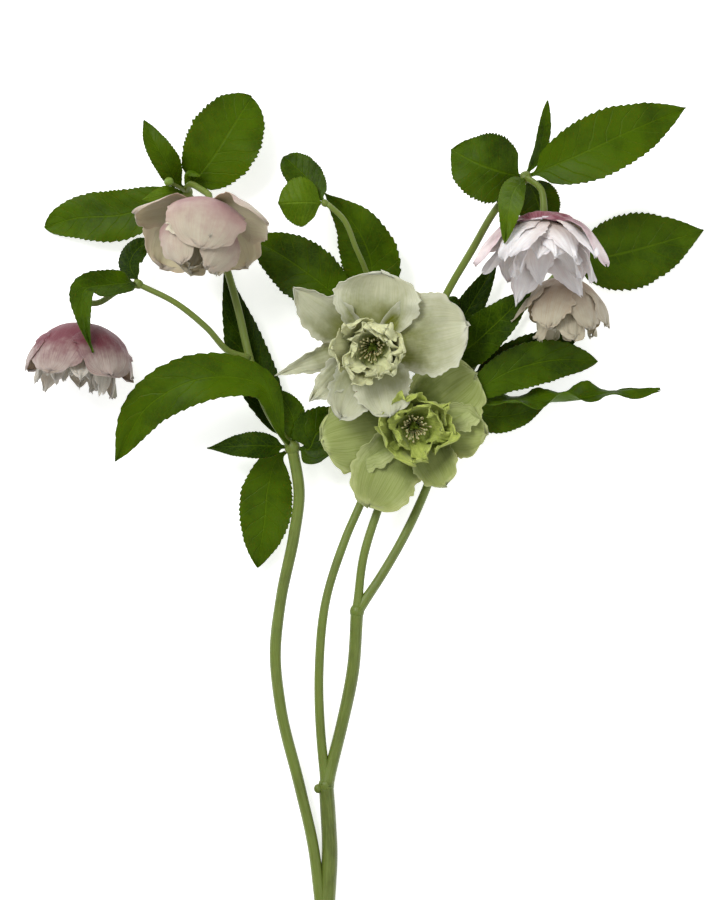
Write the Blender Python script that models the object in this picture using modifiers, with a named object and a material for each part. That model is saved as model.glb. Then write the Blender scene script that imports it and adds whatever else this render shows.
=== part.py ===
"""A cut hellebore spray: one forked stem with six double blooms, laid on its back.

X runs to the right across the spray, Y up the stem and Z up off the surface that it lies on.
A place is (x, y, height): x and y in pixels of the photograph's 720 x 900 frame, height in mm.
Every size, such as a width, a radius or a thickness, is in millimetres.
"""

import math
from dataclasses import dataclass, replace

import bmesh
import bpy
import numpy as np
from mathutils import Matrix, Vector

# Driving dimensions
MM = 0.001
MM_PER_PIXEL = 0.45
FRAME_CENTRE = (360.0, 450.0)
GAP = 0.3
LEAF_THICK = 0.7
PETAL_THICK = 0.65
END_HALF_WIDTH = 0.5
PETIOLE_HALF_WIDTH = 0.9
PETIOLE_SHARE = 0.09
PATH_STEP = 15.0
TUBE_SIDES_LEVEL = 1

# Colours of the finished pieces, as linear red, green and blue
STEM_GREEN = (0.20, 0.29, 0.06)
LEAF_GREEN = (0.06, 0.15, 0.015)
BUD_GREEN = (0.25, 0.40, 0.08)
BOSS_GREEN = (0.12, 0.22, 0.03)
BLUSH_WHITE = (0.78, 0.66, 0.60)
ROSE_WHITE = (0.62, 0.40, 0.40)
CREAM_WHITE = (0.78, 0.78, 0.58)
LIME_WHITE = (0.55, 0.65, 0.28)


def spot(x, y, height):
    """The point in mm of a pixel of the photograph, at a height over the surface."""
    return Vector(
        (
            (x - FRAME_CENTRE[0]) * MM_PER_PIXEL,
            (FRAME_CENTRE[1] - y) * MM_PER_PIXEL,
            height,
        )
    )


def smooth_path(points, shares):
    """Points at these shares of a smooth curve through the given points, by cubic Hermite pieces."""
    points = np.array([tuple(p) for p in points], float)
    knots = np.concatenate([[0], np.cumsum(np.linalg.norm(np.diff(points, axis=0), axis=1))])
    knots = knots / knots[-1]
    slopes = np.gradient(points, knots, axis=0, edge_order=1)
    span = np.clip(np.searchsorted(knots, shares, side="right") - 1, 0, len(knots) - 2)
    width = (knots[span + 1] - knots[span])[:, None]
    t = ((shares - knots[span])[:, None]) / width
    ease = 3 * t**2 - 2 * t**3
    start_pull = (t**3 - 2 * t**2 + t) * width
    end_pull = (t**3 - t**2) * width
    return (
        (1 - ease) * points[span]
        + ease * points[span + 1]
        + start_pull * slopes[span]
        + end_pull * slopes[span + 1]
    )


@dataclass
class Blade:
    """A leaf or a petal: a midrib, a width along it and the shape across it."""

    midrib: list
    width: float
    widest: float = 0.45
    fullness: float = 0.8
    root: float = PETIOLE_HALF_WIDTH
    face: tuple = (0.0, 0.0, 1.0)
    tip_face: tuple = None
    fold: float = 12.0
    cup: float = 0.0
    wave: float = 0.0
    waves: float = 2.0
    phase: float = 0.0
    teeth: int = 6
    tooth: float = 0.10
    rows: int = 12
    columns: int = 2


def unit_rows(rows):
    """Each row as a unit vector."""
    return rows / np.linalg.norm(rows, axis=1, keepdims=True)


def half_width(blade, share):
    """Half the blade's width along its midrib: a rounded rise to the widest place, then a fall to the tip."""
    rise = np.clip(share / blade.widest, 0, None) ** blade.fullness
    fall_power = blade.fullness * (1 - blade.widest) / blade.widest
    fall = ((1 - share) / (1 - blade.widest)) ** fall_power
    swell = blade.width / 2 * rise * fall
    if blade.root == PETIOLE_HALF_WIDTH:
        swell = swell * np.clip(share / PETIOLE_SHARE, 0, 1)
    end = blade.root + (END_HALF_WIDTH - blade.root) * np.clip(share * 3, 0, 1)
    return np.hypot(swell, end)


def blade_surface(blade, share, across):
    """Points of the blade for shares along the midrib, 0 to 1, and across it, -1 to 1.

    A section is an arc of the half width, turned up on each side of the midrib by the fold.
    Teeth widen the margin, and waves lift it towards the face.
    """
    centre = smooth_path(blade.midrib, share)
    step = 1e-3
    ahead = smooth_path(blade.midrib, np.clip(share + step, 0, 1))
    behind = smooth_path(blade.midrib, np.clip(share - step, 0, 1))
    along = unit_rows(ahead - behind)
    start_face = np.array(blade.face, float)
    end_face = np.array(blade.tip_face or blade.face, float)
    face = start_face + share[:, None] * (end_face - start_face)
    normal = unit_rows(face - (face * along).sum(1, keepdims=True) * along)
    side = np.cross(along, normal)

    reach = np.abs(across)
    grown = np.clip((share - 0.12) / 0.15, 0, 1) * np.clip((1 - share) / 0.06, 0, 1)
    saw = 1 - np.abs(2 * ((share * blade.teeth) % 1) - 1)
    half = half_width(blade, share) * (1 + blade.tooth * grown * (saw - 0.5) * reach**6)
    bend = max(math.radians(blade.cup), 1e-4)
    sideways = half * np.sin(bend * reach) / bend
    rise = half * (1 - np.cos(bend * reach)) / bend * math.copysign(1, blade.cup)
    ripple = np.sin(2 * math.pi * (blade.waves * share + blade.phase + 0.23 * np.sign(across)))
    rise = rise + blade.wave * reach**2 * np.sin(math.pi * np.clip(share, 0, 1)) * ripple
    turn = math.radians(blade.fold)
    out = (sideways * math.cos(turn) - rise * math.sin(turn)) * np.sign(across)
    up = sideways * math.sin(turn) + rise * math.cos(turn)
    return centre + out[:, None] * side + up[:, None] * normal


def finish(obj, name, colour, roughness):
    """Names the object, puts it with the spray and gives it a material of its own."""
    for owner in list(obj.users_collection):
        owner.objects.unlink(obj)
    spray.objects.link(obj)
    obj.name = name
    obj.parent = lie
    material = bpy.data.materials.new(name)
    material.use_nodes = True
    shader = material.node_tree.nodes["Principled BSDF"]
    shader.inputs["Base Color"].default_value = (*colour, 1.0)
    shader.inputs["Roughness"].default_value = roughness
    shader.inputs["Metallic"].default_value = 0.0
    obj.data.materials.clear()
    obj.data.materials.append(material)
    for polygon in obj.data.polygons:
        polygon.use_smooth = True
    obj.data.set_sharp_from_angle(angle=math.radians(35))
    return obj


def blade_sheet(blade, thickness, name="blade"):
    """A blade as a triangulated grid bent to its surface, with a Solidify modifier for its thickness."""
    bm = bmesh.new()
    bmesh.ops.create_grid(bm, x_segments=blade.columns, y_segments=blade.rows, size=1.0)
    grid = np.array([vertex.co for vertex in bm.verts])
    placed = blade_surface(blade, (grid[:, 1] + 1) / 2, grid[:, 0]) * MM
    for vertex, place in zip(bm.verts, placed):
        vertex.co = place
    bmesh.ops.triangulate(bm, faces=bm.faces[:])
    mesh = bpy.data.meshes.new(name)
    bm.to_mesh(mesh)
    bm.free()
    obj = bpy.data.objects.new(name, mesh)
    bpy.context.scene.collection.objects.link(obj)
    wall = obj.modifiers.new("thickness", "SOLIDIFY")
    wall.thickness = thickness * MM
    wall.offset = 0.0
    return obj


def fill_pockets(bm):
    """Deletes the closed shells that face inward, which are pockets shut in between joined petals."""
    left = set(bm.verts)
    while left:
        shell = {left.pop()}
        edge = set(shell)
        while edge:
            edge = {e.other_vert(v) for v in edge for e in v.link_edges} - shell
            shell |= edge
        left -= shell
        faces = {f for v in shell for f in v.link_faces}
        volume = sum(f.verts[0].co.dot(f.verts[1].co.cross(f.verts[2].co)) for f in faces)
        if volume < 0:
            bmesh.ops.delete(bm, geom=list(shell), context="VERTS")


def applied(obj):
    """The object with its modifiers worked into a mesh, as a new object in the same place."""
    bpy.context.view_layer.update()
    graph = bpy.context.evaluated_depsgraph_get()
    mesh = bpy.data.meshes.new_from_object(obj.evaluated_get(graph))
    bm = bmesh.new()
    bm.from_mesh(mesh)
    bmesh.ops.remove_doubles(bm, verts=bm.verts, dist=1e-6)
    bmesh.ops.triangulate(bm, faces=bm.faces[:])
    fill_pockets(bm)
    bm.to_mesh(mesh)
    bm.free()
    plain = bpy.data.objects.new(obj.name + "_applied", mesh)
    plain.matrix_world = obj.matrix_world
    bpy.context.scene.collection.objects.link(plain)
    bpy.data.objects.remove(obj)
    return plain


def united(core, pieces, solver="EXACT"):
    """The core and the pieces as one body, by one Boolean union on their collection."""
    group = bpy.data.collections.new("to_join")
    bpy.context.scene.collection.children.link(group)
    for piece in pieces:
        for owner in list(piece.users_collection):
            owner.objects.unlink(piece)
        group.objects.link(piece)
    join = core.modifiers.new("join", "BOOLEAN")
    join.operation = "UNION"
    join.operand_type = "COLLECTION"
    join.collection = group
    join.solver = solver
    whole = applied(core)
    for piece in pieces:
        bpy.data.objects.remove(piece)
    bpy.data.collections.remove(group)
    return whole


# Stem

@dataclass
class Branch:
    """One length of stem: its route and its radius at the start and at the end."""

    route: list
    start_radius: float
    end_radius: float


BASE = spot(324.5, 952, 3.9)
FORK_MIDDLE = spot(326, 787, 7.5)
FORK_HIGH = spot(357, 612, 13.5)
NODE_LEFT = spot(292, 447, 17)
NODE_BLUSH = spot(186, 191, 16)
NODE_ROSE = spot(138, 284, 27)
NODE_CREAM = spot(358, 314, 16)
NODE_RIGHT = spot(525, 178, 38)
NODE_LOW_RIGHT = spot(458, 398, 16)
NODE_MIDDLE = spot(423, 368, 15)

ROSE_SEAT = spot(84, 320, 28)
BLUSH_SEAT = spot(207, 208, 41)
CREAM_SEAT = spot(374, 344, 34)
LIME_SEAT = spot(412, 424, 20)
PEARL_SEAT = spot(543, 217, 54)
SHELL_SEAT = spot(566, 275, 28)

BRANCHES = {
    "main": Branch(
        [BASE, spot(325, 926, 3.9), spot(328, 888, 4.2), spot(329.5, 850, 5), spot(328, 818, 6), FORK_MIDDLE],
        3.9,
        3.3,
    ),
    "left": Branch(
        [
            spot(322, 938, 4.1),
            spot(319, 897, 5),
            spot(313, 848, 6),
            spot(300, 790, 8),
            spot(280, 706, 11),
            spot(275, 655, 12),
            spot(281, 598, 13),
            spot(294, 535, 15),
            spot(299, 494, 16),
            NODE_LEFT,
        ],
        2.5,
        2.6,
    ),
    "inner": Branch(
        [
            FORK_MIDDLE,
            spot(321, 740, 9),
            spot(319, 670, 11),
            spot(326, 600, 12),
            spot(345, 540, 11),
            spot(366, 490, 9),
            spot(380, 440, 8),
            spot(374, 370, 10),
            NODE_CREAM,
        ],
        2.2,
        1.7,
    ),
    "outer": Branch([FORK_MIDDLE, spot(342, 725, 9), spot(353, 670, 11), FORK_HIGH], 2.7, 2.9),
    "to_right": Branch(
        [
            FORK_HIGH,
            spot(363, 560, 14),
            spot(383, 495, 13),
            spot(404, 430, 11),
            NODE_MIDDLE,
            spot(441, 306, 21),
            spot(472, 250, 30),
            spot(500, 204, 37),
            NODE_RIGHT,
        ],
        2.0,
        1.6,
    ),
    "to_low_right": Branch(
        [
            FORK_HIGH,
            spot(382, 575, 12),
            spot(405, 535, 11),
            spot(427, 487, 11),
            spot(444, 440, 13),
            NODE_LOW_RIGHT,
            spot(474, 364, 14),
            spot(505, 326, 8),
            spot(540, 292, 3.6),
            spot(568, 262, 4.5),
        ],
        2.2,
        1.4,
    ),
    "to_blush": Branch(
        [
            NODE_LEFT,
            spot(268, 412, 17),
            spot(250, 360, 15),
            spot(237, 306, 12),
            spot(224, 262, 9),
            spot(206, 222, 11),
            NODE_BLUSH,
        ],
        1.9,
        1.6,
    ),
    "to_rose": Branch(
        [
            spot(249, 358, 15),
            spot(230, 352, 19),
            spot(207, 328, 24),
            spot(176, 303, 27),
            NODE_ROSE,
        ],
        1.5,
        1.3,
    ),
    "bud_pedicel": Branch(
        [NODE_CREAM, spot(368, 284, 24), spot(355, 246, 33), spot(343, 219, 36), spot(327, 204, 37)], 1.2, 1.2
    ),
    "small_bud_pedicel": Branch([NODE_BLUSH, spot(181, 188, 23), spot(172, 183.5, 28)], 0.9, 0.8),
}
PEDICELS = {
    "rose": Branch([NODE_ROSE, spot(118, 291, 28), spot(98, 303, 28)], 1.3, 1.4),
    "blush": Branch([NODE_BLUSH, spot(190, 184, 24), spot(202, 190, 32)], 1.4, 1.5),
    "cream": Branch([spot(376, 392, 9), spot(377, 366, 13)], 1.6, 1.6),
    "lime": Branch([spot(381, 456, 8), spot(397, 438, 7)], 1.6, 1.6),
    "pearl": Branch([NODE_RIGHT, spot(534, 184, 45), spot(541, 192, 50)], 1.3, 1.5),
    "shell": Branch([spot(560, 270, 4), spot(570, 258, 9), spot(568, 256, 20)], 1.4, 1.4),
}
PEDICEL_STRAIGHT = 7.0
NODE_SWELLINGS = {
    "left": (NODE_LEFT, 3.6),
    "blush": (NODE_BLUSH, 2.8),
    "rose": (NODE_ROSE, 2.2),
    "cream": (NODE_CREAM, 2.6),
    "right": (NODE_RIGHT, 2.8),
    "low_right": (NODE_LOW_RIGHT, 2.8),
    "middle": (NODE_MIDDLE, 2.6),
    "fork_high": (FORK_HIGH, 3.3),
    "fork_middle": (FORK_MIDDLE, 3.6),
    "leaf_scar": (spot(318, 790, 8.5), 1.9),
    "bud": (spot(325, 203.5, 37), 1.7),
    "shell": (spot(567, 262, 5.0), 2.3),
}
LEAF_NODES = {
    "leaf_left": "left",
    "leaf_blush": "blush",
    "leaf_rose": "rose",
    "leaf_cream": "cream",
    "leaf_bud": "bud",
    "leaf_right": "right",
    "leaf_right_low": "shell",
    "leaf_middle": "middle",
    "leaf_low_right": "low_right",
}


def tube(branch, name):
    """A branch as a round tube with filled caps, made a closed mesh."""
    length = sum((b - a).length for a, b in zip(branch.route, branch.route[1:]))
    shares = np.linspace(0, 1, max(6, round(length / PATH_STEP) + 1))
    places = smooth_path(branch.route, shares)
    curve = bpy.data.curves.new(name, "CURVE")
    curve.dimensions = "3D"
    curve.bevel_depth = MM
    curve.bevel_resolution = TUBE_SIDES_LEVEL
    curve.use_fill_caps = True
    line = curve.splines.new("POLY")
    line.points.add(len(places) - 1)
    for point, place, share in zip(line.points, places, shares):
        point.co = (*(place * MM), 1.0)
        point.radius = branch.start_radius + share * (branch.end_radius - branch.start_radius)
    obj = bpy.data.objects.new(name, curve)
    bpy.context.scene.collection.objects.link(obj)
    return applied(obj)


def ball(place, radius, name, rings=4):
    """A faceted ball at a place."""
    bm = bmesh.new()
    bmesh.ops.create_uvsphere(bm, u_segments=6, v_segments=rings, radius=radius * MM)
    bmesh.ops.translate(bm, verts=bm.verts, vec=place * MM)
    mesh = bpy.data.meshes.new(name)
    bm.to_mesh(mesh)
    bm.free()
    obj = bpy.data.objects.new(name, mesh)
    bpy.context.scene.collection.objects.link(obj)
    return obj


def pedicel(branch, bloom):
    """A pedicel brought straight in behind its bloom, to end the gap short of the bloom's seat."""
    axis = Vector(bloom.axis).normalized()
    ends = [bloom.seat - axis * PEDICEL_STRAIGHT, bloom.seat - axis * GAP]
    return replace(branch, route=[*branch.route, *ends])


def make_stem():
    """The whole forked stem, with its pedicels and its swollen nodes, as one body."""
    tubes = {name: tube(branch, name) for name, branch in BRANCHES.items()}
    tubes.update({f"{name}_pedicel": tube(pedicel(branch, BLOOMS[name]), name) for name, branch in PEDICELS.items()})
    core = tubes.pop("main")
    balls = [ball(place, radius, name) for name, (place, radius) in NODE_SWELLINGS.items()]
    finish(united(core, [*tubes.values(), *balls]), "stem", STEM_GREEN, 0.5)


# Leaves

LEAVES = {
    "leaf_left_large": Blade(
        [spot(289, 444, 20), spot(285, 440, 23), spot(261, 386, 32), spot(205, 379, 37), spot(150, 405, 32), spot(115, 461, 20)],
        24, widest=0.58, fullness=1.3, face=(0.15, 0.35, 1.0), fold=16, wave=1.0,
    ),
    "leaf_left_upright": Blade(
        [spot(287, 441, 14), spot(281, 431, 10.5), spot(258, 384, 8), spot(236, 318, 5.5), spot(223, 256, 3.5)],
        21, widest=0.42, fullness=1.1, face=(0.1, 0, 1.0), fold=24, wave=0.8,
    ),
    "leaf_left_fore": Blade(
        [spot(300, 449, 18), spot(307, 450, 20), spot(317, 433, 21), spot(331, 428, 17), spot(352, 441, 11)],
        22, widest=0.40, fullness=0.7, face=(0.1, 0.2, 1.0), fold=14, teeth=6, rows=12,
    ),
    "leaf_left_sheath": Blade(
        [spot(293, 442, 19), spot(294.5, 435, 21.2), spot(290, 412, 21.8), spot(272, 388, 20.5)],
        13, widest=0.45, fullness=0.8, face=(0.3, 0.1, 1.0), fold=6, teeth=5, rows=10,
    ),
    "leaf_left_low": Blade(
        [spot(282, 450, 20), spot(252, 446, 24), spot(207, 448, 17)],
        13, widest=0.38, fullness=0.8, face=(0.0, 0.25, 1.0), fold=15, teeth=5, rows=10,
    ),
    "leaf_left_hanging": Blade(
        [spot(286, 450, 16), spot(279, 457, 15), spot(268, 486, 10), spot(264, 522, 8), spot(257, 568, 5)],
        24, widest=0.48, fullness=0.8, face=(0.0, 0.0, 1.0), fold=9, wave=0.5,
    ),
    "leaf_blush_tall": Blade(
        [spot(192, 183, 17), spot(212, 158, 20), spot(233, 125, 20), spot(251, 96, 13)],
        33, widest=0.50, fullness=0.62, face=(0.1, 0.0, 1.0), fold=7, cup=-14, wave=0.8, columns=4,
    ),
    "leaf_blush_small": Blade(
        [spot(183, 188, 18), spot(175, 180, 20.5), spot(167, 164, 25.5), spot(156, 146, 27), spot(144, 120, 24)],
        13, widest=0.48, fullness=0.9, face=(0.2, 0.0, 1.0), fold=18, teeth=4, rows=8,
    ),
    "leaf_blush_side": Blade(
        [spot(178, 195, 15), spot(122, 214, 12), spot(70, 218, 5), spot(43, 226, 0.8)],
        23, widest=0.50, fullness=0.62, face=(0.0, 0.1, 1.0), fold=8, wave=0.8,
    ),
    "leaf_blush_bract": Blade(
        [spot(179, 190, 22), spot(165, 193, 27), spot(142, 200, 25)],
        7.5, widest=0.45, fullness=0.8, face=(0.0, 0.3, 1.0), fold=-10, teeth=3, tooth=0.2, rows=6,
    ),
    "leaf_blush_bract_curl": Blade(
        [spot(186, 186, 17), spot(186.4, 180.8, 19.3), spot(189, 173, 23), spot(200, 176, 25)],
        3.2, widest=0.55, fullness=0.8, face=(0.0, 0.5, 1.0), fold=-10, teeth=2, rows=5,
    ),
    "leaf_rose_bent": Blade(
        [spot(134, 284, 29), spot(131, 284, 31.5), spot(108, 286, 37.5), spot(86, 291, 43), spot(85, 318, 50), spot(94, 353, 52)],
        15, widest=0.30, fullness=0.55, face=(0.1, 0.75, 1.0), tip_face=(-0.5, 0.1, 1.0), fold=20, teeth=5, rows=12,
    ),
    "leaf_rose_back": Blade(
        [spot(134, 279, 23), spot(130, 262, 20), spot(138, 248, 18), spot(153, 240, 17)],
        11, widest=0.48, fullness=0.7, face=(-0.2, 0.0, 1.0), fold=10, teeth=4, rows=8,
    ),
    "leaf_cream_left": Blade(
        [spot(351, 311, 16), spot(318, 281, 18.5), spot(286, 258, 16), spot(250, 236, 12)],
        27, widest=0.48, fullness=0.8, face=(0.0, 0.0, 1.0), fold=8, wave=0.8,
    ),
    "leaf_cream_tall": Blade(
        [spot(361, 310, 14), spot(364, 305, 12), spot(372, 270, 13), spot(358, 230, 16), spot(325, 193, 17)],
        27, widest=0.40, fullness=0.75, face=(0.0, 0.0, 1.0), fold=14, wave=0.8,
    ),
    "leaf_bud_front": Blade(
        [spot(323, 204, 38.5), spot(303, 203, 41), spot(279, 204, 38)],
        23, widest=0.50, fullness=0.55, face=(0.0, -0.1, 1.0), fold=-12, teeth=5, rows=10, columns=4,
    ),
    "leaf_bud_back": Blade(
        [spot(323, 200, 35), spot(308, 180, 33), spot(284, 157, 30)],
        16, widest=0.55, fullness=0.6, face=(0.0, 0.2, 1.0), fold=10, teeth=5, rows=10,
    ),
    "leaf_right_round": Blade(
        [spot(518, 176, 40), spot(498, 172, 44.5), spot(474, 163, 44), spot(451, 150, 38)],
        31, widest=0.42, fullness=0.55, face=(0.0, -0.1, 1.0), fold=-8, cup=14, wave=0.8, columns=4,
    ),
    "leaf_right_fore": Blade(
        [spot(518, 183, 41), spot(511, 196, 63), spot(506, 222, 80), spot(503, 245, 83)],
        12, widest=0.50, fullness=0.75, face=(0.2, 0.1, 1.0), fold=9, teeth=3, rows=6,
    ),
    "leaf_right_long": Blade(
        [spot(531, 174, 39), spot(578, 156, 43), spot(634, 130, 38), spot(685, 108, 30)],
        29, widest=0.44, fullness=0.75, face=(0.0, 0.1, 1.0), fold=13, wave=1.0,
    ),
    "leaf_right_narrow": Blade(
        [spot(527, 171, 35), spot(539, 150, 29), spot(548, 100, 22)],
        7, widest=0.50, fullness=0.8, face=(0.4, 0.0, 1.0), fold=20, teeth=4, rows=8,
    ),
    "leaf_right_hanging": Blade(
        [spot(526, 184, 34), spot(537, 200, 27), spot(544, 226, 23)],
        20, widest=0.55, fullness=0.6, face=(0.0, 0.0, 1.0), fold=8, teeth=3, rows=6,
    ),
    "leaf_right_low": Blade(
        [spot(578, 265, 4.0), spot(616, 254, 3.0), spot(658, 243, 2.0), spot(705, 229, 0.8)],
        34, widest=0.42, fullness=0.72, face=(0.0, 0.0, 1.0), fold=7, wave=0.4,
    ),
    "leaf_middle_long": Blade(
        [spot(430, 373, 14), spot(462, 352, 19), spot(498, 322, 32), spot(531, 289, 40)],
        20, widest=0.45, fullness=0.75, face=(0.0, 0.25, 1.0), fold=10, wave=0.6, columns=2,
    ),
    "leaf_middle_dark": Blade(
        [spot(426, 366, 13), spot(429, 363, 10.3), spot(458, 325, 8), spot(478, 293, 8), spot(497, 262, 8)],
        14, widest=0.45, fullness=0.7, face=(0.2, 0.0, 1.0), fold=12, teeth=5, rows=10,
    ),
    "leaf_middle_round": Blade(
        [spot(420, 365, 14), spot(417, 360, 12.5), spot(428, 334, 13), spot(457, 297, 13)],
        11, widest=0.62, fullness=0.9, face=(0.0, 0.0, 1.0), fold=8, teeth=3, rows=6,
    ),
    "leaf_low_right_broad": Blade(
        [spot(463, 396, 17), spot(470, 393.5, 20.8), spot(510, 371, 22.5), spot(552, 360, 19), spot(598, 361, 12)],
        20, widest=0.52, fullness=0.85, face=(0.0, -0.1, 1.0), fold=9, wave=0.6, columns=2,
    ),
    "leaf_low_right_back": Blade(
        [spot(463, 397, 14), spot(469.5, 395, 11), spot(505, 366, 8), spot(548, 346, 6.5), spot(592, 316, 6)],
        18, widest=0.48, fullness=0.8, face=(0.0, 0.1, 1.0), fold=9, columns=2,
    ),
    "leaf_low_right_narrow": Blade(
        [spot(465, 400, 15.5), spot(520, 402, 19), spot(590, 396, 20), spot(660, 389, 13)],
        15, widest=0.40, fullness=0.7, face=(0.0, 0.95, 0.35), tip_face=(0.0, 0.9, 0.5), fold=14, wave=1.5, waves=2.5,
    ),
    "leaf_low_right_under": Blade(
        [spot(462, 405, 13), spot(490, 416, 10), spot(517, 414, 10), spot(550, 401, 7)],
        15, widest=0.40, fullness=0.7, face=(0.0, -0.2, 1.0), fold=9, teeth=5, rows=10,
    ),
}


def seated(name, blade):
    """The leaf with its root on its stem node: the gap off the swelling, towards the leaf's second point."""
    owner = LEAF_NODES[max((n for n in LEAF_NODES if name.startswith(n)), key=len)]
    centre, radius = NODE_SWELLINGS[owner]
    out = (blade.midrib[1] - centre).normalized()
    return replace(blade, midrib=[centre + out * (radius + GAP), *blade.midrib[1:]])


def make_leaves():
    """Each leaf and bract as a solid of its own."""
    for name, blade in LEAVES.items():
        leaf = applied(blade_sheet(seated(name, blade), LEAF_THICK, name + "_sheet"))
        finish(leaf, name, LEAF_GREEN, 0.45)


def make_small_bud():
    """The unopened bud beside the blush bloom."""
    finish(ball(spot(168.7, 181.8, 30.1), 2.0, "bud_small"), "bud_small", BUD_GREEN, 0.4)


# Blooms

@dataclass
class Petal:
    """A petal by its place round the bloom and how it opens: angles are in degrees off the bloom's axis."""

    azimuth: float
    length: float
    width: float
    opens: float
    ends: float
    cup: float = 30.0
    wave: float = 1.2
    widest: float = 0.58
    fullness: float = 0.55
    level: float = 1.4
    tooth: float = 0.05
    fold: float = 0.0
    bow: float = 1.3
    swing: float = 0.0
    rows: int = 4
    columns: int = 4


@dataclass
class Bloom:
    """A double bloom: where it sits, the way that it looks, and its petals from the outside in."""

    seat: Vector
    axis: tuple
    up: tuple
    colour: tuple
    petals: list
    stamens: int = 7


RECEPTACLE_HEIGHT = 4.0
RECEPTACLE_RADIUS = 4.4
RECEPTACLE_BACK_RADIUS = 1.9
PETAL_START_RADIUS = 1.6
PETAL_ROOT_HALF_WIDTH = 1.7
BOSS_RADIUS = 2.7
BOSS_HEIGHT = 2.2
CARPELS = 3
CARPEL_HEIGHT = 8.0
STAMEN_HEIGHT = 8.5
STAMEN_LEAN = 0.28


def bloom_frame(bloom):
    """The bloom's own axes as a matrix in mm: X towards its up direction, Z the way that it looks."""
    z = Vector(bloom.axis).normalized()
    x = (Vector(bloom.up) - Vector(bloom.up).dot(z) * z).normalized()
    y = z.cross(x)
    frame = Matrix((x, y, z)).transposed().to_4x4()
    frame.translation = bloom.seat
    return frame


def petal_blade(bloom, petal):
    """A petal as a blade: its midrib turns from one angle off the axis to another as it runs out."""
    frame = bloom_frame(bloom)
    steps = 24
    share = (np.arange(steps) + 0.5) / steps
    angle = np.radians(petal.opens + (petal.ends - petal.opens) * share**petal.bow)
    step = petal.length / steps
    radial = PETAL_START_RADIUS + np.concatenate([[0], np.cumsum(np.sin(angle) * step)])
    axial = petal.level + np.concatenate([[0], np.cumsum(np.cos(angle) * step)])
    turn = np.radians(petal.azimuth + petal.swing * np.linspace(0, 1, steps + 1) ** 2)
    chosen = [0, 4, 8, 12, 16, 20, 24]
    midrib = [
        frame @ Vector((radial[i] * math.cos(turn[i]), radial[i] * math.sin(turn[i]), axial[i]))
        for i in chosen
    ]
    out = Vector((math.cos(turn[0]), math.sin(turn[0]), 0))
    inward = [
        frame.to_3x3() @ (Vector((0, 0, 1)) * math.sin(a) - out * math.cos(a))
        for a in (angle[0], angle[-1])
    ]
    return Blade(
        midrib,
        petal.width,
        widest=petal.widest,
        fullness=petal.fullness,
        root=PETAL_ROOT_HALF_WIDTH,
        face=tuple(inward[0]),
        tip_face=tuple(inward[1]),
        fold=petal.fold,
        cup=petal.cup,
        wave=petal.wave,
        waves=1.5,
        phase=petal.azimuth / 97.0,
        teeth=2,
        tooth=petal.tooth,
        rows=petal.rows,
        columns=petal.columns,
    )


def cone(radius_back, radius_front, height, sides, frame, name):
    """A cone frustum that stands on the frame's origin and looks along its Z."""
    bm = bmesh.new()
    bmesh.ops.create_cone(
        bm,
        cap_ends=True,
        segments=sides,
        radius1=radius_back * MM,
        radius2=radius_front * MM,
        depth=height * MM,
        matrix=Matrix.Translation((0, 0, height / 2 * MM)),
    )
    mesh = bpy.data.meshes.new(name)
    bm.to_mesh(mesh)
    bm.free()
    placed = frame.copy()
    placed.translation = frame.translation * MM
    obj = bpy.data.objects.new(name, mesh)
    obj.matrix_world = placed
    bpy.context.scene.collection.objects.link(obj)
    return obj


def leaning(frame, azimuth, radius, height, lean):
    """A frame on the bloom's own, out at a radius and leaning away from the axis."""
    place = Matrix.Translation((radius * math.cos(azimuth), radius * math.sin(azimuth), height))
    return frame @ place @ Matrix.Rotation(azimuth, 4, "Z") @ Matrix.Rotation(lean, 4, "Y")


def make_bloom(name, bloom):
    """A bloom as two solids: its petals on their receptacle, and the boss of carpels and stamens."""
    frame = bloom_frame(bloom)
    receptacle = cone(
        RECEPTACLE_BACK_RADIUS, RECEPTACLE_RADIUS, RECEPTACLE_HEIGHT, 10, frame, name + "_receptacle"
    )
    petals = [
        applied(blade_sheet(petal_blade(bloom, petal), PETAL_THICK, f"{name}_petal"))
        for petal in bloom.petals
    ]
    finish(united(receptacle, petals), f"bloom_{name}_petals", bloom.colour, 0.55)

    floor = RECEPTACLE_HEIGHT + GAP
    boss = cone(BOSS_RADIUS, BOSS_RADIUS * 0.8, BOSS_HEIGHT, 8, leaning(frame, 0, 0, floor, 0), name + "_boss")
    spikes = [
        cone(0.9, 0.25, CARPEL_HEIGHT, 4, leaning(frame, 2 * math.pi * i / CARPELS, 1.0, floor + 1.0, 0.08), "carpel")
        for i in range(CARPELS)
    ]
    spikes += [
        cone(
            0.4,
            0.55,
            STAMEN_HEIGHT,
            3,
            leaning(frame, 2 * math.pi * (i + 0.31) / bloom.stamens, 2.0, floor + 0.8, STAMEN_LEAN),
            "stamen",
        )
        for i in range(bloom.stamens)
    ]
    finish(united(boss, spikes, "MANIFOLD"), f"bloom_{name}_boss", BOSS_GREEN, 0.5)


def whorl(count, first, petal, spread=360.0):
    """Petals alike in all but their azimuth, at even steps from the first one."""
    return [replace(petal, azimuth=first + spread * i / count) for i in range(count)]


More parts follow.
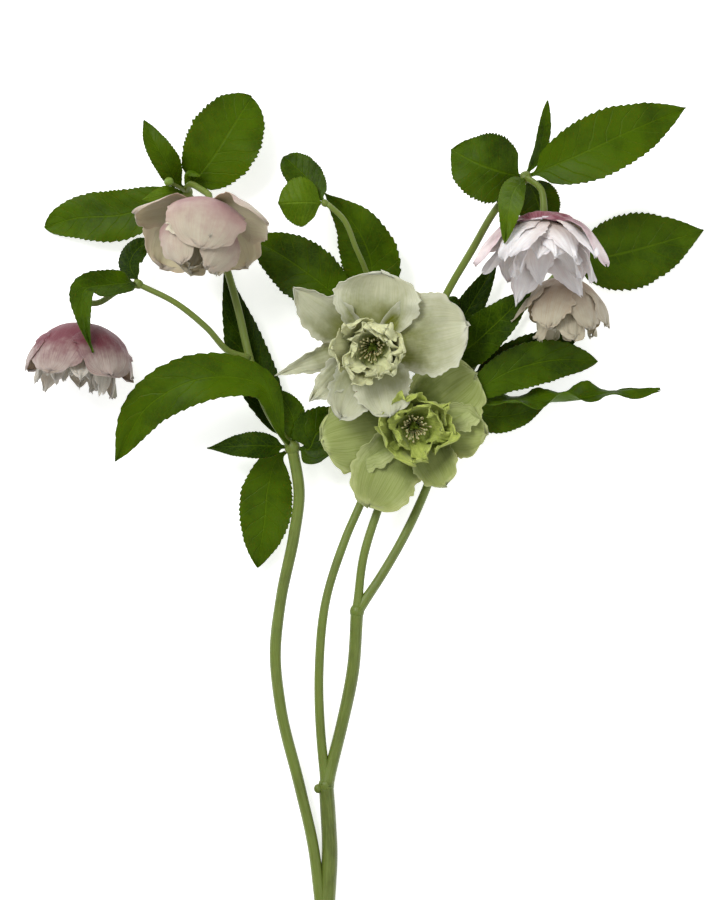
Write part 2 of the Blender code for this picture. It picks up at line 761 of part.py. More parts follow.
BLOOMS = {
    "rose": Bloom(
        ROSE_SEAT, (-0.08, -0.99, 0.02), (0, 0, 1), ROSE_WHITE,
        whorl(5, 35, Petal(0, 34, 32, 94, 10, cup=38, bow=0.8))
        + whorl(5, 0, Petal(0, 32, 17, 66, 8, cup=20, level=2.8, tooth=0.12, bow=0.7, columns=2)),
    ),
    "blush": Bloom(
        BLUSH_SEAT, (-0.15, -0.78, 0.61), (0, 0.6, 0.8), BLUSH_WHITE,
        [
            Petal(70, 35, 24, 96, 60, cup=22),
            Petal(0, 27, 26, 88, 14, cup=30, bow=0.8),
            Petal(-70, 36, 34, 96, 36, cup=30),
            Petal(-140, 33, 28, 92, 40, cup=20),
            Petal(145, 35, 32, 92, 36, cup=20),
        ]
        + whorl(6, 25, Petal(0, 27, 15, 62, 16, cup=24, level=2.8, wave=1.6, tooth=0.1, columns=2)),
    ),
    "cream": Bloom(
        CREAM_SEAT, (-0.08, -0.18, 0.98), (0, 1, 0), CREAM_WHITE,
        [
            Petal(-6, 34, 38, 96, 62, cup=16),
            Petal(-78, 43, 38, 96, 74, cup=18),
            Petal(66, 38, 24, 96, 70, cup=24),
            Petal(112, 40, 18, 92, 78, cup=20, wave=1.8),
            Petal(158, 33, 24, 92, 66, cup=16),
            Petal(198, 30, 26, 88, 58, cup=16, level=2.0),
        ]
        + whorl(5, 30, Petal(0, 19, 14, 70, 18, cup=26, level=2.9, wave=1.8, tooth=0.12, columns=2)),
        stamens=8,
    ),
    "lime": Bloom(
        LIME_SEAT, (0.12, -0.12, 0.98), (0, 1, 0), LIME_WHITE,
        [
            Petal(98, 40, 36, 94, 78, cup=12),
            Petal(152, 36, 32, 92, 74, cup=14),
            Petal(-48, 36, 38, 94, 66, cup=26),
            Petal(-98, 33, 26, 94, 70, cup=20),
            Petal(-150, 32, 22, 86, 50, cup=30),
        ]
        + whorl(5, -120, Petal(0, 20, 14, 72, 16, cup=26, level=2.9, wave=1.8, tooth=0.12, columns=2)),
        stamens=8,
    ),
    "pearl": Bloom(
        PEARL_SEAT, (0.02, -0.93, 0.36), (0, 0, 1), BLUSH_WHITE,
        [
            Petal(-72, 36, 24, 96, 30, cup=34, bow=0.9),
            Petal(-15, 22, 26, 96, 60, cup=10, bow=1.0),
            Petal(72, 37, 26, 96, 32, cup=34),
            Petal(145, 32, 28, 94, 10, cup=34, bow=0.8),
            Petal(-145, 32, 26, 94, 10, cup=34, bow=0.8),
        ]
        + whorl(6, -30, Petal(0, 34, 18, 70, 8, cup=32, level=2.8, tooth=0.1, bow=0.8, columns=2)),
    ),
    "shell": Bloom(
        SHELL_SEAT, (-0.05, -0.99, 0.05), (0, 0, 1), BLUSH_WHITE,
        [
            Petal(80, 31, 27, 92, 10, cup=36, bow=0.75),
            Petal(10, 31, 22, 88, 4, cup=36, bow=0.7),
            Petal(-75, 31, 22, 92, 10, cup=36, bow=0.75),
            Petal(160, 30, 24, 90, 8, cup=34, bow=0.7),
            Petal(-140, 30, 22, 90, 8, cup=34, bow=0.7),
        ]
        + whorl(4, -20, Petal(0, 28, 13, 62, 8, cup=24, level=2.8, tooth=0.1, bow=0.7, columns=2)),
    ),
}


def set_down():
    """Moves the finished spray so that its lowest point and the middle of its box are at the origin."""
    bpy.context.view_layer.update()
    corners = np.array([obj.matrix_world @ v.co for obj in spray.objects if obj.type == "MESH" for v in obj.data.vertices])
    low, high = corners.min(0), corners.max(0)
    lie.location = (-(low[0] + high[0]) / 2, -(low[1] + high[1]) / 2, -low[2])


for old in list(bpy.data.objects):
    bpy.data.objects.remove(old)
spray = bpy.data.collections.new("hellebore_spray")
bpy.context.scene.collection.children.link(spray)
lie = bpy.data.objects.new("lie", None)
spray.objects.link(lie)

make_stem()
make_leaves()
make_small_bud()
for bloom_name, bloom_shape in BLOOMS.items():
    make_bloom(bloom_name, bloom_shape)
set_down()
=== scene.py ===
"""Looks of a cut hellebore spray: a forked stem, toothed leaves and six double blooms, laid on its back.

A place is (x, y, height), with x and y in pixels of the 720 x 900 frame and height in mm over the surface.
Sizes of leaves, petals and stems are in millimetres; a mesh is scaled to metres when it is made.
"""

import logging
import math
from collections.abc import Iterable, Iterator
from dataclasses import dataclass, replace
from enum import Enum

import bpy
import numpy as np
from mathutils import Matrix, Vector


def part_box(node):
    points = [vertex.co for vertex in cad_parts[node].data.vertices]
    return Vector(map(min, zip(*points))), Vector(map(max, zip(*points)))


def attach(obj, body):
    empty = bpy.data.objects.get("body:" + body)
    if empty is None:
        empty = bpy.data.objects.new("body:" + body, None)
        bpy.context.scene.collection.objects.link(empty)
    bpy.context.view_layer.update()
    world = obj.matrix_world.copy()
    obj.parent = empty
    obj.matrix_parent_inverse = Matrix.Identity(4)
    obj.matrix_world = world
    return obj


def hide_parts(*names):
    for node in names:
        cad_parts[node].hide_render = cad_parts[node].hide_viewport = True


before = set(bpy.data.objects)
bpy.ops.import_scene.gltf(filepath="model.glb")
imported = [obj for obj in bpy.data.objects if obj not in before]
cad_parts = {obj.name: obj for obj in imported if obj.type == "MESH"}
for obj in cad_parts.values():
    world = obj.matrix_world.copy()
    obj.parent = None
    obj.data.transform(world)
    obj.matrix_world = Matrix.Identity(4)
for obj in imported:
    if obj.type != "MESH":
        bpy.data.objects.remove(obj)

logging.basicConfig(level=logging.INFO, format="%(message)s")
log = logging.getLogger("hellebore")

Array = np.ndarray
Colour = tuple[float, float, float]
Material = bpy.types.Material
Node = bpy.types.Node
Object = bpy.types.Object
Socket = bpy.types.NodeSocket
Tree = bpy.types.NodeTree

# The scale, the frame's middle, and where the small bud is drawn in the frame.
MM = 0.001
MM_PER_PIXEL = 0.45
FRAME_CENTRE = (360.0, 450.0)
BUD_PLACE = (168.7, 181.8, 30.1)

# What touching pieces keep between them, and a blade's thin ends: a leaf's stalk, and any tip.
GAP = 0.3
PETIOLE_HALF_WIDTH = 0.9
PETIOLE_SHARE = 0.09
TIP_HALF_WIDTH = 0.12

# A leaf's side veins to its length, their slant, and the height of a petal's ribs.
SIDE_VEINS = 8.5
VEIN_SLANT = 1.6
PETAL_RIB = 0.18

# A petal that starts higher than this over the seat is an inner one.
INNER_LEVEL = 2.5

# The turn in radians from one stamen to the next.
GOLDEN_ANGLE = 2.399963

# The sines of a wavering line: the slowest one's pitch, and the height of each.
LOWEST_PITCH = 2.5
WAVER_HEIGHTS = (0.34, 0.26, 0.18, 0.13, 0.09)

# The unopened bud, and the place in metres that the lights look at.
BUD_AXIS = (-0.75, -0.25, 0.5)
BUD_HALF_LENGTH = 2.2
BUD_RADIUS = 2.0
BLOOMS_MIDDLE = (0, 0.06, 0.03)


def box_middle(node: str) -> Array:
    """The middle of a CAD node's box, in mm."""
    low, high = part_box(node)
    return (np.array(low) + np.array(high)) / 2 / MM


def drawn(x: float, y: float, height: float) -> Array:
    """The point in mm of a pixel at a height, about the frame's centre."""
    return np.array([(x - FRAME_CENTRE[0]) * MM_PER_PIXEL, (FRAME_CENTRE[1] - y) * MM_PER_PIXEL, height])


SHIFT = box_middle("bud_small") - drawn(*BUD_PLACE)


def spot(x: float, y: float, height: float) -> Array:
    """The point in mm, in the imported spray's frame, of a pixel at a height: packing shifted all by SHIFT."""
    return drawn(x, y, height) + SHIFT


def route(*places: tuple | Array) -> list[Array]:
    """Points in mm: a tuple is turned into its spot, and a point stays as it is."""
    return [spot(*place) if isinstance(place, tuple) else place for place in places]


def unit(vectors: Array) -> Array:
    """Vectors brought to length one along their last axis."""
    vectors = np.asarray(vectors, float)
    return vectors / (np.linalg.norm(vectors, axis=-1, keepdims=True) + 1e-12)


def length_of(points: Array) -> Array:
    """How far along a line of points each one is."""
    return np.concatenate([[0], np.cumsum(np.linalg.norm(np.diff(points, axis=0), axis=1))])


def smooth_step(values: Array, low: float, high: float) -> Array:
    """0 below low, 1 above high, and an ease between them."""
    t = np.clip((values - low) / (high - low), 0, 1)
    return t * t * (3 - 2 * t)


def smooth_path(points: list, shares: Array) -> Array:
    """A smooth curve through points, by a cubic Hermite piece between each two.

    Args:
        points: The points that the curve passes through.
        shares: Places along it, from 0 to 1.

    Returns:
        One point for each share.
    """
    points = np.array([tuple(p) for p in points], float)
    knots = length_of(points)
    knots = knots / knots[-1]
    slopes = np.gradient(points, knots, axis=0, edge_order=1)
    span = np.clip(np.searchsorted(knots, shares, side="right") - 1, 0, len(knots) - 2)
    width = (knots[span + 1] - knots[span])[:, None]
    t = (shares - knots[span])[:, None] / width
    ease = 3 * t**2 - 2 * t**3
    start_pull = (t**3 - 2 * t**2 + t) * width * slopes[span]
    end_pull = (t**3 - t**2) * width * slopes[span + 1]
    return (1 - ease) * points[span] + ease * points[span + 1] + start_pull + end_pull


def wander(values: Array, seed: int, roughest: float = 14.0) -> Array:
    """A wavering line between about -1 and 1: five sines of rising pitch and falling height.

    Args:
        values: Where the line is read.
        seed: Picks the sines' phases.
        roughest: The pitch of the quickest sine.

    Returns:
        The line's height at each value.
    """
    rng = np.random.default_rng(seed)
    total = np.zeros_like(values, dtype=float)
    for pitch, height in zip(np.linspace(LOWEST_PITCH, roughest, len(WAVER_HEIGHTS)), WAVER_HEIGHTS):
        total = total + height * np.sin(2 * math.pi * (pitch * values + rng.random()))
    return total


@dataclass
class Shell:
    """A closed surface as arrays.

    Attributes:
        points: Its points in mm.
        quads: Rows of four indices into points.
        triangles: Rows of three indices into points.
        sheet: For each point: along, across, and the surface's own number.
        tone: For each point: underside, margin, and a free value.
    """

    points: Array
    quads: Array
    triangles: Array
    sheet: Array
    tone: Array


def make_piece(name: str, shells: Iterable[Shell]) -> Object:
    """Makes one object of closed surfaces, which stands at the origin and goes nowhere under the floor.

    Args:
        name: The object's name.
        shells: The surfaces.

    Returns:
        The object.
    """
    shells = list(shells)
    firsts = np.cumsum([0, *(len(shell.points) for shell in shells)])
    quads = np.concatenate([shell.quads + first for shell, first in zip(shells, firsts)])
    triangles = np.concatenate([shell.triangles + first for shell, first in zip(shells, firsts)])
    points = np.concatenate([shell.points for shell in shells]) * MM
    points[:, 2] = np.maximum(points[:, 2], 0.0)
    mesh = bpy.data.meshes.new(name)
    mesh.vertices.add(len(points))
    mesh.vertices.foreach_set("co", points.astype(np.float32).ravel())
    corners = np.concatenate([quads.ravel(), triangles.ravel()])
    mesh.loops.add(len(corners))
    mesh.loops.foreach_set("vertex_index", corners.astype(np.int32))
    starts = np.concatenate([np.arange(len(quads)) * 4, quads.size + np.arange(len(triangles)) * 3])
    mesh.polygons.add(len(starts))
    mesh.polygons.foreach_set("loop_start", starts.astype(np.int32))
    mesh.update(calc_edges=True)
    mesh.validate()
    mesh.shade_smooth()
    for label in ("sheet", "tone"):
        values = np.concatenate([getattr(shell, label) for shell in shells])
        attribute = mesh.attributes.new(label, "FLOAT_VECTOR", "POINT")
        attribute.data.foreach_set("vector", values.astype(np.float32).ravel())
    made = bpy.data.objects.new(name, mesh)
    bpy.context.scene.collection.objects.link(made)
    log.info("%s: %d quads, %d triangles", name, len(quads), len(triangles))
    return made


def grid_quads(rows: int, columns: int) -> Array:
    """Quads of a grid of rows by columns points, numbered along each row."""
    corner = (np.arange(rows - 1)[:, None] * columns + np.arange(columns - 1)).ravel()
    return np.stack([corner, corner + columns, corner + columns + 1, corner + 1], axis=1)


def grid_rim(rows: int, columns: int) -> Array:
    """Indices round the edge of a grid of rows by columns points, in order."""
    index = np.arange(rows * columns).reshape(rows, columns)
    return np.concatenate([index[0], index[1:, -1], index[-1, -2::-1], index[-2:0:-1, 0]])


@dataclass
class Sheet:
    """A curved surface on a grid, with what its finish reads.

    Attributes:
        points: Rows by columns by 3, in mm.
        along: Grid of shares of its length.
        across: Grid of places across it, from -1 to 1.
    """

    points: Array
    along: Array
    across: Array

    def shell(self, thickness: Array, number: float, free: float, shift: float = 0.0) -> Shell:
        """Closes it: its two faces lie half a thickness off the surface, with a wall round the rim.

        Args:
            thickness: Grid of thicknesses in mm.
            number: Its own number.
            free: The free value of its tone.
            shift: Taken off its share of the length, which moves its colours outward.

        Returns:
            The closed surface.
        """
        normal = unit(np.cross(np.gradient(self.points, axis=1), np.gradient(self.points, axis=0)))
        offset = normal * (thickness[..., None] / 2)
        faces = [(self.points + offset).reshape(-1, 3), (self.points - offset).reshape(-1, 3)]
        size = self.along.size
        quads = grid_quads(*self.along.shape)
        rim = grid_rim(*self.along.shape)
        after = np.roll(rim, -1)
        walls = np.stack([rim, after, after + size, rim + size], axis=1)
        quads = np.concatenate([quads[:, ::-1], quads + size, walls[:, ::-1]])
        row = np.stack([self.along.ravel() - shift, self.across.ravel(), np.full(size, number)], axis=1)
        margin = np.maximum(np.abs(self.across), smooth_step(self.along, 0.8, 1.0)).ravel()
        face = np.stack([np.zeros(size), margin, np.full(size, free)], axis=1)
        tone = np.concatenate([face, face + np.array([1.0, 0, 0])])
        return Shell(np.concatenate(faces), quads, np.zeros((0, 3), int), np.concatenate([row, row]), tone)


@dataclass
class Tube:
    """A round tube along a path, closed at both ends: a circle carried along on turning-free axes.

    Attributes:
        centre: The path's points in mm.
        radius: The radius at each point.
        sides: Points round it.
        number: Its own number.
        ribs: Height of its low lengthwise ribs, as a share of the radius.
        tone: The free value of its tone.
    """

    centre: Array
    radius: Array
    sides: int
    number: float = 0.0
    ribs: float = 0.0
    tone: float = 0.0

    def shell(self) -> Shell:
        """The tube's surface: its rings, with a fan of triangles on each end.

        Returns:
            The closed surface.
        """
        centre, sides, rings = self.centre, self.sides, len(self.centre)
        tangent = unit(np.gradient(centre, axis=0))
        first = np.cross(tangent[0], [0.31, 0.2, 0.93])
        axes = [first / np.linalg.norm(first)]
        for now in tangent[1:]:
            kept = axes[-1] - now * (axes[-1] @ now)
            axes.append(kept / np.linalg.norm(kept))
        side = np.array(axes)
        top = np.cross(tangent, side)
        angle = np.linspace(0, 2 * math.pi, sides, endpoint=False)
        ribbed = self.radius[:, None] * (1 + self.ribs * np.cos(5 * angle)[None, :])
        ring = side[:, None] * np.cos(angle)[None, :, None] + top[:, None] * np.sin(angle)[None, :, None]
        points = (centre[:, None] + ribbed[..., None] * ring).reshape(-1, 3)
        around = np.arange(sides)
        after = (around + 1) % sides
        start = np.arange(rings - 1)[:, None] * sides
        corners = [start + around, start + after, start + sides + after, start + sides + around]
        last = (rings - 1) * sides
        low = np.stack([np.full(sides, rings * sides), after, around], axis=1)
        high = np.stack([np.full(sides, rings * sides + 1), last + around, last + after], axis=1)
        length = length_of(centre)
        turns = [np.tile(np.cos(angle), rings), np.tile(np.sin(angle), rings)]
        sheet = np.stack([np.repeat(length, sides), *turns], axis=1)
        ends = np.array([[0.0, 0, 0], [length[-1], 0, 0]])
        return Shell(
            np.concatenate([points, centre[[0, -1]]]),
            np.stack(corners, axis=-1).reshape(-1, 4),
            np.concatenate([low, high]),
            np.concatenate([sheet, ends]),
            np.tile([self.number, 0.0, self.tone], (rings * sides + 2, 1)),
        )


@dataclass
class Blade:
    """A leaf or a petal: a midrib, a width along it and the shape across it.

    Attributes:
        midrib: Points along the middle.
        width: Full width in mm at the widest place.
        widest: Share of the length where it is widest.
        fullness: Lower is blunter.
        root: Half width at the root.
        face: The way that its face looks at the root.
        tip_face: The same at the tip.
        fold: Degrees that each side turns up at the midrib.
        cup: Degrees that each side bends up by its margin.
        wave: Height of the slow waves of the margin.
        waves: How many slow waves.
        phase: Where they start.
        teeth: Saw teeth on each margin.
        tooth: Their size as a share of the half width.
        ruffle: Height of the quick ruffles at the margin.
        jag: Raggedness of the margin as a share of the half width.
        rib: Height of low lengthwise ribs.
        pucker: Height of the quilting between side veins.
        seed: Picks its wavering lines.
        depth: How much painted shade darkens a leaf's green, more for a leaf that lies in shade.
    """

    midrib: list[Array]
    width: float
    widest: float = 0.45
    fullness: float = 0.8
    root: float = PETIOLE_HALF_WIDTH
    face: tuple = (0.0, 0.0, 1.0)
    tip_face: tuple | None = None
    fold: float = 0.0
    cup: float = 0.0
    wave: float = 0.0
    waves: float = 2.0
    phase: float = 0.0
    teeth: int = 0
    tooth: float = 0.0
    ruffle: float = 0.0
    jag: float = 0.02
    rib: float = 0.0
    pucker: float = 0.0
    seed: int = 1
    depth: float = 0.25

    def half_width(self, share: Array) -> Array:
        """Half the width: a power rise to the widest place and a power fall to the tip, on a thin root.

        Args:
            share: Shares along.

        Returns:
            Half the width in mm.
        """
        after = 1 - self.widest
        rise = np.clip(share / self.widest, 0, None) ** self.fullness
        fall = np.clip((1 - share) / after, 0, None) ** (self.fullness * after / self.widest)
        swell = self.width / 2 * rise * fall
        if self.root == PETIOLE_HALF_WIDTH:
            swell = swell * np.clip(share / PETIOLE_SHARE, 0, 1)
        end = self.root + (TIP_HALF_WIDTH - self.root) * np.clip(share * 3, 0, 1)
        return np.hypot(swell, end)

    def lift(self, share: Array, across: Array, heading: Array, grown: Array) -> Array:
        """How far slow waves, a drape, ruffles, ribs and quilting lift the blade off its arc.

        Args:
            share: Shares along.
            across: Places across.
            heading: Turns round the outline.
            grown: 0 at both ends, 1 between.

        Returns:
            The lift in mm.
        """
        reach = np.abs(across)
        open_end = smooth_step(share, 0.12, 0.6)
        ripple = np.sin(2 * math.pi * (self.waves * share + self.phase + 0.23 * np.sign(across)))
        drape = np.sin(2 * math.pi * (1.4 * share + self.phase)) * np.cos(3.4 * across + self.seed)
        waves = self.wave * (reach**2 * np.sin(math.pi * share) * ripple + 0.4 * open_end * drape)
        outer = np.maximum(reach, smooth_step(share, 0.62, 1.0))
        ruffles = self.ruffle * outer**2.5 * open_end * wander(heading, self.seed + 7, 9)
        ribs = self.rib * np.cos(across * 19 + wander(share * 0.4, self.seed)) * (1 - reach**4) * open_end
        vein = np.abs(np.sin(math.pi * (share * SIDE_VEINS - reach * VEIN_SLANT)))
        quilts = self.pucker * vein * np.sin(math.pi * np.clip(reach * 1.05, 0, 1)) * grown
        return waves + ruffles + ribs + quilts

    def sheet(self, rows: int, columns: int) -> Sheet:
        """The blade on a grid.

        Each section is an arc of the half width, turned up by the fold, with teeth or rags added to its
        width and the lift to its height.

        Args:
            rows: Cells along the blade.
            columns: Cells across it.

        Returns:
            Its surface.
        """
        line = np.linspace(0, 1, rows + 1)
        centre = smooth_path(self.midrib, line)
        ahead, behind = (smooth_path(self.midrib, np.clip(line + step, 0, 1)) for step in (1e-3, -1e-3))
        tangent = unit(ahead - behind)
        begin, end = np.array(self.face, float), np.array(self.tip_face or self.face, float)
        face = begin + line[:, None] * (end - begin)
        normal = unit(face - (face * tangent).sum(1, keepdims=True) * tangent)
        side = np.cross(tangent, normal)

        places = np.sin(np.linspace(-1, 1, columns + 1) * math.pi / 2)
        share, across = np.meshgrid(line, places, indexing="ij")
        reach, hand = np.abs(across), np.sign(across)
        heading = np.arctan2(across * self.width, (share - 0.5) * 2 * self.width + 1e-6) / (2 * math.pi)
        grown = smooth_step(share, 0.1, 0.2) * (1 - smooth_step(share, 0.93, 1.0))
        saw = (share * self.teeth + 0.37 * (hand > 0)) % 1
        tooth = self.tooth * (1 + 0.45 * wander(share * 3 + hand, self.seed + 5, 8))
        torn = 0.8 * wander(heading * 1.6, self.seed, 12) + 0.8 * wander(heading * 6, self.seed + 1, 9)
        outer = np.maximum(reach, smooth_step(share, 0.62, 1.0))
        ragged = self.jag * outer**5 * smooth_step(share, 0.12, 0.4) * torn
        half = self.half_width(line)[:, None] * (1 + tooth * grown * (saw - 0.45) * reach**8) * (1 + ragged)

        bend = max(math.radians(self.cup), 1e-4)
        sideways = half * np.sin(bend * reach) / bend
        rise = half * (1 - np.cos(bend * reach)) / bend * math.copysign(1, self.cup)
        rise = rise + self.lift(share, across, heading, grown)
        turn = math.radians(self.fold)
        out = (sideways * math.cos(turn) - rise * math.sin(turn)) * hand
        up = sideways * math.sin(turn) + rise * math.cos(turn)
        slide = ragged * (share - 0.5) * self.width
        points = centre[:, None] + out[..., None] * side[:, None] + up[..., None] * normal[:, None]
        return Sheet(points + slide[..., None] * tangent[:, None], share, across)


FLECK_BROWN = (0.16, 0.07, 0.02)


class Wiring:
    """Adds and joins the nodes of one node tree."""

    def __init__(self, tree: Tree) -> None:
        """Works on the node tree of a material or a group."""
        self.tree = tree

    def node(self, kind: str, inputs: dict | None = None, **settings: object) -> Node:
        """Adds a node, sets its properties, and sets or joins its inputs.

        Args:
            kind: The node's type.
            inputs: Socket name or number to a value or to a socket.
            **settings: Properties of the node.

        Returns:
            The node.
        """
        made = self.tree.nodes.new(kind)
        for key, value in settings.items():
            setattr(made, key, value)
        for key, value in (inputs or {}).items():
            if isinstance(value, Socket):
                self.tree.links.new(value, made.inputs[key])
            else:
                made.inputs[key].default_value = value
        return made

    def math(self, operation: str, *values: float | Socket) -> Socket:
        """The result of a Math node on one to three values or sockets."""
        return self.node("ShaderNodeMath", dict(enumerate(values)), operation=operation).outputs[0]

    def span(self, value: Socket, low: float, high: float, start: float = 0.0, end: float = 1.0) -> Socket:
        """A value eased from start at low to end at high, and held outside them."""
        inputs = {0: value, 1: low, 2: high, 3: start, 4: end}
        return self.node("ShaderNodeMapRange", inputs, interpolation_type="SMOOTHSTEP").outputs[0]

    def mix(self, factor: Socket, *colours: Colour | Socket) -> Socket:
        """One colour mixed to another by a factor."""
        full = [colour if isinstance(colour, Socket) else (*colour, 1.0) for colour in colours]
        return self.node("ShaderNodeMix", {0: factor, 6: full[0], 7: full[1]}, data_type="RGBA").outputs[2]

    def marked(self, ground: Colour | Socket, ink: Colour, *marks: tuple[Socket, float]) -> Socket:
        """A ground colour with marks in one ink laid over it, each at its own strength."""
        for mark, strength in marks:
            ground = self.mix(self.math("MULTIPLY", mark, strength), ground, ink)
        return ground

    def attribute(self, name: str) -> list[Socket]:
        """The three parts of a vector attribute."""
        vector = self.node("ShaderNodeAttribute", attribute_name=name).outputs["Vector"]
        return list(self.node("ShaderNodeSeparateXYZ", {0: vector}).outputs)

    def vector(self, *parts: float | Socket) -> Socket:
        """A vector of three parts."""
        return self.node("ShaderNodeCombineXYZ", dict(enumerate(parts))).outputs[0]

    def place(self) -> Socket:
        """Each point's own place on its object, in metres."""
        return self.node("ShaderNodeTexCoord").outputs["Object"]

    def noise(
        self, vector: Socket, scale: float | Socket, detail: float = 3.0, roughness: float = 0.55
    ) -> Socket:
        """The value of a noise texture."""
        inputs = {"Vector": vector, "Scale": scale, "Detail": detail, "Roughness": roughness}
        return self.node("ShaderNodeTexNoise", inputs).outputs[0]

    def cells(self, scale: Socket, feature: str = "F1") -> Socket:
        """The distance that a Voronoi texture gives on each point's own place."""
        inputs = {"Vector": self.place(), "Scale": scale}
        return self.node("ShaderNodeTexVoronoi", inputs, feature=feature).outputs["Distance"]


class Group(Wiring):
    """The wiring of a shader node group.

    Attributes:
        takes: Its inputs by name.
        gives: Its output node.
    """

    def __init__(self, name: str, takes: dict[str, float], gives: list[str]) -> None:
        """Starts the group.

        Args:
            name: The group's name.
            takes: Input name to its value.
            gives: Output names.
        """
        super().__init__(bpy.data.node_groups.new(name, "ShaderNodeTree"))
        sockets = self.tree.interface
        for label, value in takes.items():
            sockets.new_socket(label, in_out="INPUT", socket_type="NodeSocketFloat").default_value = value
        for label in gives:
            sockets.new_socket(label, in_out="OUTPUT", socket_type="NodeSocketFloat")
        self.takes = self.tree.nodes.new("NodeGroupInput").outputs
        self.gives = self.tree.nodes.new("NodeGroupOutput")

    def give(self, **results: Socket) -> Tree:
        """The group's tree, with each result joined to the output of its name."""
        for label, result in results.items():
            self.tree.links.new(result, self.gives.inputs[label])
        return self.tree


def mottle_group() -> Tree:
    """Uneven colour of living tissue: coarse clouds and fine grain on the surface's own place."""
    wires = Group("tissue_mottle", {"Coarse": 55.0, "Fine": 900.0}, ["Clouds", "Grain"])
    clouds = wires.noise(wires.place(), wires.takes["Coarse"], 4.0, 0.6)
    grain = wires.noise(wires.place(), wires.takes["Fine"], 2.0, 0.6)
    return wires.give(Clouds=wires.span(clouds, 0.3, 0.7), Grain=grain)


def leaf_vein_group() -> Tree:
    """Veins of a leaf: a midrib, side veins that slant to the margin, and a fine net between them.

    A side vein runs where the share of the length times the count, less the reach times the slant, is
    whole, and a slow noise bends it.

    Returns:
        The group's tree.
    """
    values = {"Count": SIDE_VEINS, "Slant": VEIN_SLANT, "Net": 650.0}
    wires = Group("leaf_veins", values, ["Midrib", "Side", "Net"])
    along, across, number = wires.attribute("sheet")
    reach = wires.math("ABSOLUTE", across)
    midrib = wires.span(reach, 0.012, 0.05, 1.0, 0.0)
    bent = wires.math("MULTIPLY", wires.noise(wires.place(), 70.0, 2.0), 1.1)
    slant = wires.math("MULTIPLY", reach, wires.takes["Slant"])
    count = wires.math("MULTIPLY", wires.takes["Count"], wires.math("MULTIPLY_ADD", number, 0.5, 0.75))
    line = wires.math("SUBTRACT", wires.math("MULTIPLY", along, count), slant)
    line = wires.math("ADD", line, bent)
    off = wires.math("PINGPONG", wires.math("ADD", line, 20.0), 0.5)
    width = wires.math("MULTIPLY_ADD", reach, -0.035, 0.075)
    side = wires.math("SUBTRACT", 1.0, wires.math("SMOOTH_MIN", wires.math("DIVIDE", off, width), 1.0, 0.1))
    net = wires.span(wires.cells(wires.takes["Net"], "DISTANCE_TO_EDGE"), 0.0, 0.16, 1.0, 0.0)
    return wires.give(Midrib=midrib, Side=wires.math("MAXIMUM", side, 0.0), Net=net)


def petal_streak_group() -> Tree:
    """Fine veins that run out along a petal, and small dark flecks near its margin.

    The veins are noise that is drawn out along the petal. A fleck is the middle of a cell, kept where a
    coarser noise is high and the margin is near.

    Returns:
        The group's tree.
    """
    wires = Group("petal_streaks", {"Lines": 34.0, "Flecks": 420.0}, ["Streak", "Fleck"])
    along, across, number = wires.attribute("sheet")
    margin = wires.attribute("tone")[1]
    spread = wires.math("MULTIPLY", across, wires.takes["Lines"])
    run = wires.vector(spread, wires.math("MULTIPLY", along, 2.2), number)
    streak = wires.noise(run, 1.0, 3.0, 0.6)
    dots = wires.span(wires.cells(wires.takes["Flecks"]), 0.06, 0.2, 1.0, 0.0)
    chosen = wires.span(wires.noise(wires.place(), 160.0, 2.0), 0.6, 0.7)
    fleck = wires.math("MULTIPLY", wires.math("MULTIPLY", dots, chosen), wires.span(margin, 0.72, 0.98))
    return wires.give(Streak=wires.span(streak, 0.42, 0.66), Fleck=fleck)


class Surface(Wiring):
    """The wiring of a material with one Principled shader.

    Attributes:
        material: The material.
        shader: Its shader.
    """

    def __init__(self, name: str, constants: dict[str, object]) -> None:
        """Makes the material.

        Args:
            name: Its name.
            constants: Socket name to a value, which is set on the shader itself.
        """
        self.material = bpy.data.materials.new(name)
        self.material.use_nodes = True
        super().__init__(self.material.node_tree)
        self.shader = self.tree.nodes["Principled BSDF"]
        for label, value in constants.items():
            self.shader.inputs[label].default_value = value

    def group(self, tree: Tree, **values: float) -> list[Socket]:
        """The outputs of a group that is placed with its own values."""
        return list(self.node("ShaderNodeGroup", values, node_tree=tree).outputs)

    def coated(
        self, colour: Socket, rough: Socket, height: Socket, strength: float, depth: float
    ) -> Material:
        """Joins what the shader takes.

        Args:
            colour: The base colour.
            rough: The roughness.
            height: The bump's height.
            strength: The bump's strength.
            depth: The bump's depth in metres.

        Returns:
            The material.
        """
        bump = self.node("ShaderNodeBump", {"Height": height, "Strength": strength, "Distance": depth})
        for label, value in (("Base Color", colour), ("Roughness", rough), ("Normal", bump.outputs[0])):
            self.tree.links.new(value, self.shader.inputs[label])
        return self.material


